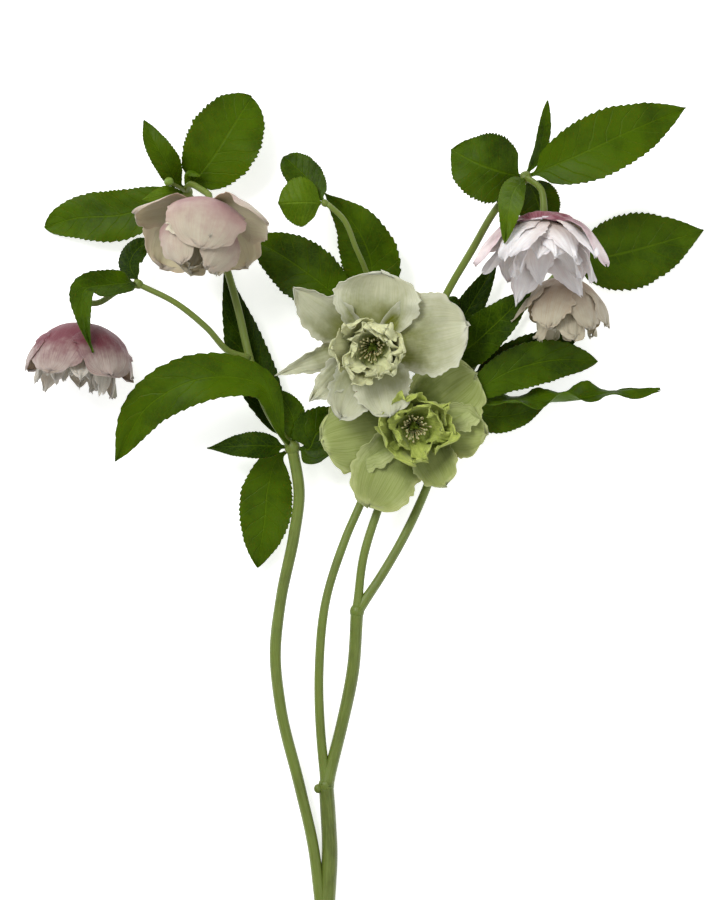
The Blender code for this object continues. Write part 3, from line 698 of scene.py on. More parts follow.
@dataclass(frozen=True)
class LeafFinish:
    """A leaf's skin: two greens, paler veins, a greyer underside and a soft gloss.

    Attributes:
        name: The material's name.
        dark: The deeper green of the upper side, towards which painted shade also darkens a leaf.
        bright: The lighter green of the upper side.
        vein: The veins' green.
        under: The underside's green.
        roughness: How matt it is.
    """

    name: str
    dark: Colour
    bright: Colour
    vein: Colour
    under: Colour
    roughness: float = 0.42

    def make(self, groups: dict[str, Tree]) -> Material:
        """Makes the material: clouds less the leaf's painted shade (its depth) pick its green, and veins lie
        over it.

        Args:
            groups: The shared node groups by name.

        Returns:
            The material.
        """
        constants = {"Specular IOR Level": 0.07, "Subsurface Weight": 0.05, "Subsurface Scale": 0.002}
        wires = Surface(self.name, constants)
        clouds, grain = wires.group(groups["mottle"], Coarse=60.0, Fine=1500.0)
        midrib, side, net = wires.group(groups["veins"])
        back, _, depth = wires.attribute("tone")
        # Painted shade: the tone's third value is the leaf's depth, which darkens the green of a leaf that
        # lies in shade.
        light = wires.math("SUBTRACT", wires.math("MULTIPLY_ADD", clouds, 0.5, 0.58), depth)
        top = wires.mix(wires.span(light, 0.0, 1.0), self.dark, self.bright)
        top = wires.marked(top, self.vein, (net, 0.14), (side, 0.3), (midrib, 0.5))
        low = wires.marked(self.under, self.vein, (side, 0.6), (midrib, 0.9))
        rough = wires.math("MULTIPLY_ADD", grain, 0.25, self.roughness - 0.1)
        dents = wires.math("ADD", wires.math("MULTIPLY", side, -0.8), wires.math("MULTIPLY", net, -0.12))
        dents = wires.math("ADD", dents, wires.math("MULTIPLY", midrib, -0.9))
        return wires.coated(wires.mix(back, top, low), rough, dents, 0.6, 0.0004)


@dataclass(frozen=True)
class PetalFinish:
    """A petal's skin: a throat, a body and a margin on its face, and its own colours on the back.

    Attributes:
        name: The material's name.
        throat: The face's colour at the root.
        body: The face's colour at the middle.
        margin: The face's colour at the margin.
        back_root: The back's colour at the root.
        back_tip: The back's colour at the tip.
        streak: The fine veins' colour.
        heart: The inner petals' colour at the root.
        heart_tip: The inner petals' colour at the tip.
        streaks: How strong the veins are.
        throat_end: Share of the length where the throat's colour ends.
        margin_strength: How strong the margin's colour is.
        fleck: How strong the brown flecks are.
        back_start: Share of the length where the back starts to pale.
    """

    name: str
    throat: Colour
    body: Colour
    margin: Colour
    back_root: Colour
    back_tip: Colour
    streak: Colour
    heart: Colour
    heart_tip: Colour
    streaks: float = 0.3
    throat_end: float = 0.45
    margin_strength: float = 0.5
    fleck: float = 0.5
    back_start: float = 0.15

    def make(self, groups: dict[str, Tree]) -> Material:
        """Makes the material: its colours change along the petal, on a place that clouds make uneven.

        Args:
            groups: The shared node groups by name.

        Returns:
            The material.
        """
        constants = {
            "Specular IOR Level": 0.2,
            "Subsurface Weight": 0.3,
            "Subsurface Scale": 0.0012,
            "Subsurface Radius": (1.0, 0.85, 0.7),
            "Sheen Weight": 0.12,
            "Sheen Roughness": 0.5,
        }
        wires = Surface(self.name, constants)
        clouds, grain = wires.group(groups["mottle"], Coarse=75.0, Fine=1800.0)
        streak, fleck = wires.group(groups["streaks"])
        along, _, number = wires.attribute("sheet")
        back, margin, inner = wires.attribute("tone")
        uneven = wires.math("MULTIPLY_ADD", clouds, 0.22, -0.11)
        place = wires.math("ADD", along, uneven)
        edge = (wires.span(wires.math("ADD", margin, uneven), 0.62, 1.0), self.margin_strength)
        # The throat and heart colours darken a petal towards its root: the petal's own colour, and for the
        # cream finish partly painted shade in the cup's hollow.
        face = wires.mix(wires.span(place, 0.12, self.throat_end), self.throat, self.body)
        behind = wires.mix(wires.span(place, self.back_start, 0.98), self.back_root, self.back_tip)
        core = wires.mix(wires.span(place, 0.1, 0.85), self.heart, self.heart_tip)
        face, behind = (wires.marked(side, self.margin, edge) for side in (face, behind))
        colour = wires.mix(inner, wires.mix(back, face, behind), core)
        shade = wires.math("MULTIPLY_ADD", number, 0.16, 0.86)
        shade = wires.math("ADD", shade, wires.math("MULTIPLY", clouds, 0.10))
        colour = wires.node("ShaderNodeVectorMath", {0: colour, "Scale": shade}, operation="SCALE").outputs[0]
        colour = wires.marked(colour, self.streak, (streak, self.streaks))
        colour = wires.marked(colour, FLECK_BROWN, (fleck, self.fleck))
        height = wires.math("MULTIPLY_ADD", streak, 0.7, wires.math("MULTIPLY", grain, 0.25))
        rough = wires.math("MULTIPLY_ADD", grain, 0.2, 0.42)
        return wires.coated(colour, rough, height, 0.35, 0.00025)


@dataclass(frozen=True)
class StalkFinish:
    """A stalk's skin: pale with lengthwise lines, and deeper where its tone is higher.

    Attributes:
        name: The material's name.
        pale: The lighter colour.
        deep: The deeper colour.
        line: The lines' colour.
        roughness: How matt it is.
    """

    name: str
    pale: Colour
    deep: Colour
    line: Colour
    roughness: float = 0.45

    def make(self, groups: dict[str, Tree]) -> Material:
        """Makes the material: the lines are noise that is drawn out along the stalk.

        Args:
            groups: The shared node groups by name.

        Returns:
            The material.
        """
        constants = {"Specular IOR Level": 0.4, "Subsurface Weight": 0.1, "Subsurface Scale": 0.002}
        wires = Surface(self.name, constants)
        clouds, grain = wires.group(groups["mottle"], Coarse=45.0, Fine=1300.0)
        length, one, two = wires.attribute("sheet")
        foot = wires.attribute("tone")[2]
        run = wires.vector(wires.math("MULTIPLY", length, 0.03), one, two)
        lines = wires.span(wires.noise(run, 4.0, 4.0, 0.65), 0.42, 0.66)
        shade = wires.math("ADD", wires.math("MULTIPLY", clouds, 0.45), wires.math("MULTIPLY", foot, 0.8))
        colour = wires.mix(wires.span(shade, 0.0, 1.0), self.pale, self.deep)
        colour = wires.marked(colour, self.line, (lines, 0.4))
        rough = wires.math("MULTIPLY_ADD", grain, 0.2, self.roughness - 0.08)
        height = wires.math("MULTIPLY_ADD", lines, 0.8, wires.math("MULTIPLY", grain, 0.4))
        return wires.coated(colour, rough, height, 0.3, 0.0002)


class Skin(Enum):
    """The spray's finishes."""

    LEAF = LeafFinish(
        "leaf_green", dark=(0.009, 0.024, 0.0), bright=(0.053, 0.102, 0.0), vein=(0.08, 0.14, 0.001),
        under=(0.073, 0.135, 0.007),
    )
    YOUNG = LeafFinish(
        "young_leaf_green", dark=(0.032, 0.071, 0.0), bright=(0.086, 0.147, 0.003),
        vein=(0.135, 0.218, 0.012), under=(0.113, 0.19, 0.015),
    )
    STALK = StalkFinish("stalk_green", (0.128, 0.176, 0.02), (0.063, 0.084, 0.008), (0.179, 0.231, 0.044))
    YOUNG_STALK = StalkFinish(
        "young_stalk_green", (0.15, 0.24, 0.028), (0.09, 0.15, 0.008), (0.21, 0.3, 0.056), roughness=0.4,
    )
    ROSE = PetalFinish(
        "rose_petal", throat=(0.289, 0.218, 0.165), body=(0.357, 0.311, 0.24),
        margin=(0.255, 0.126, 0.135), back_root=(0.13, 0.02, 0.034), back_tip=(0.4, 0.345, 0.3),
        streak=(0.145, 0.042, 0.056), heart=(0.4, 0.35, 0.28), heart_tip=(0.56, 0.54, 0.47), streaks=0.4,
        margin_strength=0.15, back_start=0.45,
    )
    BLUSH = PetalFinish(
        "blush_petal", throat=(0.369, 0.357, 0.141), body=(0.514, 0.478, 0.321),
        margin=(0.456, 0.336, 0.282), back_root=(0.33, 0.165, 0.175), back_tip=(0.45, 0.41, 0.31),
        streak=(0.388, 0.242, 0.22), heart=(0.50, 0.47, 0.30), heart_tip=(0.62, 0.58, 0.44), streaks=0.25,
        margin_strength=0.35, fleck=0.8, back_start=0.22,
    )
    # Partly painted shade: the cream throat's dark olive, and the dark root of its heart, are partly the
    # petals' own green and partly painted shade in the cup's hollow.
    CREAM = PetalFinish(
        "cream_petal", throat=(0.12, 0.135, 0.0), body=(0.5, 0.51, 0.36), margin=(0.59, 0.595, 0.48),
        back_root=(0.34, 0.37, 0.18), back_tip=(0.47, 0.475, 0.35), streak=(0.301, 0.327, 0.12),
        heart=(0.12, 0.155, 0.004), heart_tip=(0.6, 0.61, 0.35), streaks=0.25, throat_end=0.85,
        margin_strength=0.7, fleck=0.9,
    )
    LIME = PetalFinish(
        "lime_petal", throat=(0.055, 0.08, 0.0), body=(0.31, 0.36, 0.12), margin=(0.48, 0.52, 0.24),
        back_root=(0.20, 0.26, 0.04), back_tip=(0.346, 0.395, 0.092), streak=(0.163, 0.216, 0.02),
        heart=(0.096, 0.141, 0.003), heart_tip=(0.43, 0.5, 0.11), streaks=0.4, throat_end=0.66,
        margin_strength=0.75, fleck=1.0,
    )
    PEARL = PetalFinish(
        "pearl_petal", throat=(0.635, 0.593, 0.399), body=(0.8, 0.79, 0.785), margin=(0.69, 0.469, 0.532),
        back_root=(0.15, 0.022, 0.036), back_tip=(0.828, 0.745, 0.732), streak=(0.552, 0.304, 0.359),
        heart=(0.649, 0.552, 0.492), heart_tip=(0.8, 0.785, 0.775), streaks=0.22, margin_strength=0.3,
        back_start=0.32,
    )
    SHELL = PetalFinish(
        "shell_petal", throat=(0.192, 0.158, 0.028), body=(0.38, 0.345, 0.235), margin=(0.41, 0.36, 0.27),
        back_root=(0.3, 0.21, 0.15), back_tip=(0.44, 0.41, 0.31), streak=(0.365, 0.242, 0.145),
        heart=(0.384, 0.326, 0.145), heart_tip=(0.5, 0.465, 0.35), streaks=0.35, fleck=0.9,
    )
    STAMEN = StalkFinish(
        "stamen_cream", (0.45, 0.423, 0.208), (0.324, 0.306, 0.096), (0.495, 0.459, 0.248), roughness=0.6,
    )
    CARPEL = StalkFinish(
        "carpel_green", (0.108, 0.153, 0.012), (0.041, 0.068, 0.002), (0.144, 0.189, 0.021), roughness=0.5,
    )


class Dresser:
    """Makes pieces and each finish once.

    Attributes:
        groups: The shared node groups.
        made: The finishes made so far.
    """

    def __init__(self) -> None:
        """Builds the shared groups."""
        self.groups = {"mottle": mottle_group(), "veins": leaf_vein_group(), "streaks": petal_streak_group()}
        self.made: dict[Skin, Material] = {}

    def dress(self, name: str, shells: Iterable[Shell], skin: Skin, slot: str, *nodes: str) -> None:
        """Makes a piece, gives it its finish, and lets it ride with the spray and stand for CAD nodes.

        Args:
            name: The piece's name.
            shells: Its surfaces.
            skin: Its finish.
            slot: Not used.
            *nodes: The CAD nodes that it stands for.
        """
        if skin not in self.made:
            self.made[skin] = skin.value.make(self.groups)
        piece = make_piece(name, shells)
        piece.data.materials.append(self.made[skin])
        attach(piece, "root")
        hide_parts(*nodes)


@dataclass
class Petal:
    """A petal by its place round the bloom and how it opens: angles are in degrees off the bloom's axis.

    Attributes:
        azimuth: Its place round the axis.
        length: Its length in mm.
        width: Its width in mm.
        opens: The angle at the root.
        ends: The angle at the tip.
        cup: Degrees that each side bends up by its margin.
        wave: Height of the slow waves.
        widest: Share of the length where it is widest.
        fullness: Lower is blunter.
        level: Height of its root over the seat, which is over INNER_LEVEL for an inner petal.
        bow: How late along the petal it bends: over 1 is later.
        swing: Degrees that the tip turns round the axis.
        ruffle: Height of the quick ruffles.
        jag: Raggedness of the margin.
        deep: How much further out it keeps its root's colours, as a share of its length.
    """

    azimuth: float
    length: float
    width: float
    opens: float
    ends: float
    cup: float = 30.0
    wave: float = 1.2
    widest: float = 0.58
    fullness: float = 0.55
    level: float = 1.4
    bow: float = 1.3
    swing: float = 0.0
    ruffle: float = 1.6
    jag: float = 0.07
    deep: float = 0.0


@dataclass
class Bloom:
    """A double bloom: where it sits, the way that it looks, and its petals from the outside in.

    Attributes:
        seat: The middle of its back.
        axis: The way that it looks.
        up: The direction of azimuth 0.
        skin: Its petals' finish.
        petals: Its petals.
    """

    seat: Array
    axis: tuple
    up: tuple
    skin: Skin
    petals: list[Petal]


def whorl(count: int, first: float, petal: Petal) -> list[Petal]:
    """Petals alike in all but their azimuth, at even steps right round from the first one."""
    return [replace(petal, azimuth=first + 360 * i / count) for i in range(count)]


@dataclass
class Branch:
    """One length of stem.

    Attributes:
        route: The points that it passes through.
        start_radius: Its radius at the start.
        end_radius: Its radius at the end.
    """

    route: list[Array]
    start_radius: float
    end_radius: float


FORK_MIDDLE, FORK_HIGH = route((326, 787, 7.5), (357, 612, 13.5))
NODE_LEFT, NODE_BLUSH, NODE_ROSE = route((292, 447, 17), (186, 191, 16), (138, 284, 27))
NODE_CREAM, NODE_RIGHT = route((358, 314, 16), (525, 178, 38))
NODE_LOW_RIGHT, NODE_MIDDLE = route((458, 398, 16), (423, 368, 15))
ROSE_SEAT, BLUSH_SEAT, CREAM_SEAT = route((84, 320, 28), (207, 208, 41), (374, 344, 34))
LIME_SEAT, PEARL_SEAT, SHELL_SEAT = route((412, 424, 20), (543, 217, 54), (566, 275, 28))

MAIN_ROUTE = route(
    (324.5, 952, 3.9), (325, 926, 3.9), (328, 888, 4.2), (329.5, 850, 5), (328, 818, 6), FORK_MIDDLE
)
LEFT_ROUTE = route(
    (322, 938, 4.1), (319, 897, 5), (313, 848, 6), (300, 790, 8), (280, 706, 11), (275, 655, 12),
    (281, 598, 13), (294, 535, 15), (299, 494, 16), NODE_LEFT,
)
INNER_ROUTE = route(
    FORK_MIDDLE, (321, 740, 9), (319, 670, 11), (326, 600, 12), (345, 540, 11), (366, 490, 9),
    (380, 440, 8), (374, 370, 10), NODE_CREAM,
)
RIGHT_ROUTE = route(
    FORK_HIGH, (363, 560, 14), (383, 495, 13), (404, 430, 11), NODE_MIDDLE, (441, 306, 21),
    (472, 250, 30), (500, 204, 37), NODE_RIGHT,
)
LOW_RIGHT_ROUTE = route(
    FORK_HIGH, (382, 575, 12), (405, 535, 11), (427, 487, 11), (444, 440, 13), NODE_LOW_RIGHT,
    (474, 364, 14), (505, 326, 8), (540, 292, 3.6), (568, 262, 4.5),
)
BLUSH_ROUTE = route(
    NODE_LEFT, (268, 412, 17), (250, 360, 15), (237, 306, 12), (224, 262, 9), (206, 222, 11), NODE_BLUSH
)
ROSE_ROUTE = route((249, 358, 15), (230, 352, 19), (207, 328, 24), (176, 303, 27), NODE_ROSE)
BUD_ROUTE = route(NODE_CREAM, (368, 284, 24), (355, 246, 33), (343, 219, 36), (327, 204, 37))

BRANCHES = {
    "main": Branch(MAIN_ROUTE, 3.9, 3.3),
    "left": Branch(LEFT_ROUTE, 2.5, 2.6),
    "inner": Branch(INNER_ROUTE, 2.2, 1.7),
    "outer": Branch(route(FORK_MIDDLE, (342, 725, 9), (353, 670, 11), FORK_HIGH), 2.7, 2.9),
    "to_right": Branch(RIGHT_ROUTE, 2.0, 1.6),
    "to_low_right": Branch(LOW_RIGHT_ROUTE, 2.2, 1.4),
    "to_blush": Branch(BLUSH_ROUTE, 1.9, 1.6),
    "to_rose": Branch(ROSE_ROUTE, 1.5, 1.3),
    "bud_pedicel": Branch(BUD_ROUTE, 1.2, 1.2),
    "small_bud_pedicel": Branch(route(NODE_BLUSH, (181, 188, 23), (172, 183.5, 28)), 0.9, 0.8),
}
PEDICELS = {
    "rose": Branch(route(NODE_ROSE, (118, 291, 28), (98, 303, 28)), 1.3, 1.4),
    "blush": Branch(route(NODE_BLUSH, (190, 184, 24), (202, 190, 32)), 1.4, 1.5),
    "cream": Branch(route((376, 392, 9), (377, 366, 13)), 1.6, 1.6),
    "lime": Branch(route((381, 456, 8), (397, 438, 7)), 1.6, 1.6),
    "pearl": Branch(route(NODE_RIGHT, (534, 184, 45), (541, 192, 50)), 1.3, 1.5),
    "shell": Branch(route((560, 270, 4), (570, 258, 9), (568, 256, 20)), 1.4, 1.4),
}
PEDICEL_STRAIGHT = 7.0
TRUNKS = ("main", "left")
FOOT_DEPTHS = {"main": 0.42, "left": 0.1, "inner": 0.05, "outer": 0.2}
NODE_SWELLINGS = {
    "left": (NODE_LEFT, 3.6),
    "blush": (NODE_BLUSH, 2.8),
    "rose": (NODE_ROSE, 2.2),
    "cream": (NODE_CREAM, 2.6),
    "right": (NODE_RIGHT, 2.8),
    "low_right": (NODE_LOW_RIGHT, 2.8),
    "middle": (NODE_MIDDLE, 2.6),
    "fork_high": (FORK_HIGH, 3.3),
    "fork_middle": (FORK_MIDDLE, 3.6),
    "leaf_scar": (spot(318, 790, 8.5), 1.9),
    "bud": (spot(325, 203.5, 37), 1.7),
    "shell": (spot(567, 262, 5.0), 2.3),
}
LEAF_NODES = {
    "leaf_left": "left",
    "leaf_blush": "blush",
    "leaf_rose": "rose",
    "leaf_cream": "cream",
    "leaf_bud": "bud",
    "leaf_right": "right",
    "leaf_right_low": "shell",
    "leaf_middle": "middle",
    "leaf_low_right": "low_right",
}
YOUNG_LEAVES = {"leaf_blush_bract", "leaf_blush_bract_curl", "leaf_bud_front", "leaf_right_fore"}


# Each leaf's depth is painted shade: a leaf that lies in shade gets a darker green.
LEAVES = {
    "leaf_left_large": Blade(
        route(
            (289, 444, 20), (285, 440, 23), (261, 386, 32),
            (205, 379, 37), (150, 405, 32), (115, 461, 20),
        ),
        24, widest=0.58, fullness=1.3, face=(0.15, 0.35, 1.0), fold=16, wave=1.0, depth=0.15,
    ),
    "leaf_left_upright": Blade(
        route((287, 441, 14), (281, 431, 10.5), (258, 384, 8), (236, 318, 5.5), (223, 256, 3.5)),
        21, widest=0.42, fullness=1.1, face=(0.1, 0, 1.0), fold=24, wave=0.8, depth=0.75,
    ),
    "leaf_left_fore": Blade(
        route((300, 449, 18), (307, 450, 20), (317, 433, 21), (331, 428, 17), (352, 441, 11)),
        22, widest=0.40, fullness=0.7, face=(0.1, 0.2, 1.0), fold=14, depth=0.45,
    ),
    "leaf_left_sheath": Blade(
        route((293, 442, 19), (294.5, 435, 21.2), (290, 412, 21.8), (272, 388, 20.5)),
        13, widest=0.45, fullness=0.8, face=(0.3, 0.1, 1.0), fold=6,
    ),
    "leaf_left_low": Blade(
        route((282, 450, 20), (252, 446, 24), (207, 448, 17)),
        13, widest=0.38, fullness=0.8, face=(0.0, 0.25, 1.0), fold=15, depth=0.55,
    ),
    "leaf_left_hanging": Blade(
        route((286, 450, 16), (279, 457, 15), (268, 486, 10), (264, 522, 8), (257, 568, 5)),
        24, widest=0.48, fullness=0.8, fold=9, wave=0.5, depth=0.1,
    ),
    "leaf_blush_tall": Blade(
        route((192, 183, 17), (212, 158, 20), (233, 125, 20), (251, 96, 13)),
        33, widest=0.50, fullness=0.62, face=(0.1, 0.0, 1.0), fold=7, cup=-14, wave=0.8, depth=0.1,
    ),
    "leaf_blush_small": Blade(
        route((183, 188, 18), (175, 180, 20.5), (167, 164, 25.5), (156, 146, 27), (144, 120, 24)),
        13, widest=0.48, fullness=0.9, face=(0.2, 0.0, 1.0), fold=18,
    ),
    "leaf_blush_side": Blade(
        route((178, 195, 15), (122, 214, 12), (70, 218, 5), (43, 226, 0.8)),
        23, widest=0.50, fullness=0.62, face=(0.0, 0.1, 1.0), fold=8, wave=0.8, depth=0.15,
    ),
    "leaf_blush_bract": Blade(
        route((179, 190, 22), (165, 193, 27), (142, 200, 25)),
        7.5, widest=0.45, fullness=0.8, face=(0.0, 0.3, 1.0), fold=-10,
    ),
    "leaf_blush_bract_curl": Blade(
        route((186, 186, 17), (186.4, 180.8, 19.3), (189, 173, 23), (200, 176, 25)),
        3.2, widest=0.55, fullness=0.8, face=(0.0, 0.5, 1.0), fold=-10,
    ),
    "leaf_rose_bent": Blade(
        route(
            (134, 284, 29), (131, 284, 31.5), (108, 286, 37.5),
            (86, 291, 43), (85, 318, 50), (94, 353, 52),
        ),
        15, widest=0.30, fullness=0.55, face=(0.1, 0.75, 1.0), tip_face=(-0.5, 0.1, 1.0), fold=20,
        depth=0.4,
    ),
    "leaf_rose_back": Blade(
        route((134, 279, 23), (130, 262, 20), (138, 248, 18), (153, 240, 17)),
        11, widest=0.48, fullness=0.7, face=(-0.2, 0.0, 1.0), fold=10, depth=0.7,
    ),
    "leaf_cream_left": Blade(
        route((351, 311, 16), (318, 281, 18.5), (286, 258, 16), (250, 236, 12)),
        27, widest=0.48, fullness=0.8, fold=8, wave=0.8, depth=0.3,
    ),
    "leaf_cream_tall": Blade(
        route((361, 310, 14), (364, 305, 12), (372, 270, 13), (358, 230, 16), (325, 193, 17)),
        27, widest=0.40, fullness=0.75, fold=14, wave=0.8, depth=0.2,
    ),
    "leaf_bud_front": Blade(
        route((323, 204, 38.5), (303, 203, 41), (279, 204, 38)),
        23, widest=0.50, fullness=0.55, face=(0.0, -0.1, 1.0), fold=-12,
    ),
    "leaf_bud_back": Blade(
        route((323, 200, 35), (308, 180, 33), (284, 157, 30)),
        16, widest=0.55, fullness=0.6, face=(0.0, 0.2, 1.0), fold=10, depth=0.35,
    ),
    "leaf_right_round": Blade(
        route((518, 176, 40), (498, 172, 44.5), (474, 163, 44), (451, 150, 38)),
        31, widest=0.42, fullness=0.55, face=(0.0, -0.1, 1.0), fold=-8, cup=14, wave=0.8, depth=0.35,
    ),
    "leaf_right_fore": Blade(
        route((518, 183, 41), (511, 196, 63), (506, 222, 80), (503, 245, 83)),
        12, widest=0.50, fullness=0.75, face=(0.2, 0.1, 1.0), fold=9,
    ),
    "leaf_right_long": Blade(
        route((531, 174, 39), (578, 156, 43), (634, 130, 38), (685, 108, 30)),
        29, widest=0.44, fullness=0.75, face=(0.0, 0.1, 1.0), fold=13, wave=1.0, depth=0.1,
    ),
    "leaf_right_narrow": Blade(
        route((527, 171, 35), (539, 150, 29), (548, 100, 22)),
        7, widest=0.50, fullness=0.8, face=(0.4, 0.0, 1.0), fold=20,
    ),
    "leaf_right_hanging": Blade(
        route((526, 184, 34), (537, 200, 27), (544, 226, 23)),
        20, widest=0.55, fullness=0.6, fold=8, depth=0.6,
    ),
    "leaf_right_low": Blade(
        route((578, 265, 4.0), (616, 254, 3.0), (658, 243, 2.0), (705, 229, 0.8)),
        34, widest=0.42, fullness=0.72, fold=7, wave=0.4, depth=0.2,
    ),
    "leaf_middle_long": Blade(
        route((430, 373, 14), (462, 352, 19), (498, 322, 32), (531, 289, 40)),
        20, widest=0.45, fullness=0.75, face=(0.0, 0.25, 1.0), fold=10, wave=0.6, depth=0.5,
    ),
    "leaf_middle_dark": Blade(
        route((426, 366, 13), (429, 363, 10.3), (458, 325, 8), (478, 293, 8), (497, 262, 8)),
        14, widest=0.45, fullness=0.7, face=(0.2, 0.0, 1.0), fold=12, depth=0.9,
    ),
    "leaf_middle_round": Blade(
        route((420, 365, 14), (417, 360, 12.5), (428, 334, 13), (457, 297, 13)),
        11, widest=0.62, fullness=0.9, fold=8, depth=0.8,
    ),
    "leaf_low_right_broad": Blade(
        route((463, 396, 17), (470, 393.5, 20.8), (510, 371, 22.5), (552, 360, 19), (598, 361, 12)),
        20, widest=0.52, fullness=0.85, face=(0.0, -0.1, 1.0), fold=9, wave=0.6, depth=0.35,
    ),
    "leaf_low_right_back": Blade(
        route((463, 397, 14), (469.5, 395, 11), (505, 366, 8), (548, 346, 6.5), (592, 316, 6)),
        18, widest=0.48, fullness=0.8, face=(0.0, 0.1, 1.0), fold=9, depth=0.65,
    ),
    "leaf_low_right_narrow": Blade(
        route((465, 400, 15.5), (520, 402, 19), (590, 396, 20), (660, 389, 13)),
        15, widest=0.40, fullness=0.7, face=(0.0, 0.95, 0.35), tip_face=(0.0, 0.9, 0.5), fold=14,
        wave=2.8, waves=4, jag=0.2,
    ),
    "leaf_low_right_under": Blade(
        route((462, 405, 13), (490, 416, 10), (517, 414, 10), (550, 401, 7)),
        15, widest=0.40, fullness=0.7, face=(0.0, -0.2, 1.0), fold=9,
    ),
}


BLOOMS = {
    "rose": Bloom(
        ROSE_SEAT, (-0.08, -0.99, 0.02), (0, 0, 1), Skin.ROSE,
        whorl(5, 35, Petal(0, 36, 33, 94, 8, cup=38, bow=0.8, fullness=0.62, jag=0.10))
        + whorl(
            7, 0, Petal(0, 35, 20, 72, 8, cup=24, level=2.8, bow=0.7, fullness=0.85, widest=0.5, jag=0.08),
        ),
    ),
    "blush": Bloom(
        BLUSH_SEAT, (-0.15, -0.78, 0.61), (0, 0.6, 0.8), Skin.BLUSH,
        [
            Petal(80, 33, 26, 96, 40, cup=34, ruffle=1.6, fullness=0.7, bow=1.0),
            Petal(-10, 47, 38, 98, -42, cup=36, bow=0.85, ruffle=1.4, fullness=0.62),
            Petal(-70, 35, 34, 96, 30, cup=34, ruffle=1.8),
            Petal(-140, 33, 28, 92, 40, cup=20, ruffle=2.2, jag=0.12),
            Petal(148, 36, 32, 92, 36, cup=20, ruffle=2.0, jag=0.10),
            Petal(40, 45, 28, 84, -46, cup=34, bow=0.8, level=2.4, ruffle=1.2, jag=0.12, fullness=0.7),
            Petal(-52, 45, 28, 84, -46, cup=30, bow=0.8, level=2.4, ruffle=1.2, jag=0.12, fullness=0.7),
        ]
        + whorl(
            6, 25, Petal(0, 31, 20, 60, -14, cup=30, level=3.0, wave=1.2, ruffle=2.2, jag=0.12, fullness=0.7),
        ),
    ),
    "cream": Bloom(
        CREAM_SEAT, (-0.08, -0.18, 0.98), (0, 1, 0), Skin.CREAM,
        [
            Petal(-6, 34, 39, 96, 60, cup=18, ruffle=2.2, jag=0.08, fullness=0.62),
            Petal(-78, 43, 38, 96, 74, cup=18, ruffle=2.2, jag=0.08),
            Petal(62, 43, 22, 96, 66, cup=30, ruffle=2.4, jag=0.14, fullness=0.95, widest=0.5, swing=-8),
            Petal(104, 45, 12, 92, 80, cup=26, wave=1.8, ruffle=1.8, jag=0.2, fullness=1.0, widest=0.45),
            Petal(128, 36, 15, 90, 70, cup=24, wave=1.8, ruffle=2.4, jag=0.2, fullness=0.85, widest=0.5),
            Petal(156, 35, 22, 92, 62, cup=16, ruffle=2.6, jag=0.16, fullness=0.75),
            Petal(192, 32, 26, 88, 56, cup=16, level=2.0, ruffle=2.8, jag=0.16, fullness=0.65),
        ]
        + whorl(
            6, 30, Petal(0, 23, 17, 66, 10, cup=26, level=2.9, wave=2.2, ruffle=2.8, jag=0.16, fullness=0.7),
        ),
    ),
    "lime": Bloom(
        LIME_SEAT, (0.12, -0.12, 0.98), (0, 1, 0), Skin.LIME,
        [
            Petal(98, 41, 36, 94, 78, cup=12, ruffle=2.6, jag=0.10, wave=2.0),
            Petal(150, 40, 32, 92, 74, cup=14, ruffle=2.6, jag=0.10, wave=2.0),
            Petal(-48, 36, 38, 94, 62, cup=30, ruffle=2.6, jag=0.10, wave=2.0),
            Petal(-98, 33, 26, 94, 62, cup=30, ruffle=2.6, jag=0.10, wave=2.0),
            Petal(-150, 32, 22, 86, 42, cup=40, ruffle=2.8, jag=0.12, wave=2.0),
        ]
        + whorl(
            5, -120,
            Petal(0, 23, 17, 68, 14, cup=30, level=2.9, wave=2.2, ruffle=2.8, jag=0.14, fullness=0.7),
        ),
    ),
    "pearl": Bloom(
        PEARL_SEAT, (0.02, -0.93, 0.36), (0, 0, 1), Skin.PEARL,
        [
            Petal(-74, 41, 25, 96, 10, cup=34, bow=0.8, fullness=0.75),
            Petal(2, 16, 27, 96, 30, cup=30, bow=1.0, level=0.6, fullness=0.45, ruffle=0.8, deep=0.6),
            Petal(74, 43, 26, 96, 14, cup=34, bow=0.8, fullness=0.75),
            Petal(145, 36, 26, 94, 20, cup=30, bow=0.8, fullness=0.8, widest=0.5),
            Petal(-145, 36, 24, 94, 20, cup=30, bow=0.8, fullness=0.8, widest=0.5),
            Petal(50, 41, 21, 84, 30, cup=28, bow=0.8, level=2.6, fullness=0.9, widest=0.45),
            Petal(-50, 41, 21, 84, 28, cup=28, bow=0.8, level=2.6, fullness=0.9, widest=0.45),
        ]
        + whorl(
            6, -30, Petal(0, 38, 19, 74, 20, cup=28, level=2.8, bow=0.8, fullness=0.9, widest=0.46, jag=0.08),
        ),
    ),
    "shell": Bloom(
        SHELL_SEAT, (-0.05, -0.99, 0.05), (0, 0, 1), Skin.SHELL,
        [
            Petal(78, 33, 24, 92, 14, cup=30, bow=0.75, ruffle=2.4, jag=0.14, fullness=0.75),
            Petal(22, 33, 22, 88, 6, cup=30, bow=0.7, ruffle=2.6, jag=0.16, fullness=0.75),
            Petal(-34, 32, 20, 88, 6, cup=30, bow=0.7, ruffle=2.4, jag=0.16, fullness=0.75),
            Petal(-80, 31, 22, 92, 6, cup=36, bow=0.75, ruffle=1.8, jag=0.12),
            Petal(160, 30, 24, 90, 8, cup=34, bow=0.7, ruffle=2.2, jag=0.12),
            Petal(-140, 30, 22, 90, 8, cup=34, bow=0.7, ruffle=2.2, jag=0.12),
        ]
        + whorl(4, -20, Petal(0, 30, 14, 62, 8, cup=24, level=2.8, bow=0.7, ruffle=2.2, jag=0.16)),
    ),
}
PETAL_SLOTS = {"pearl": "blush_petal"}


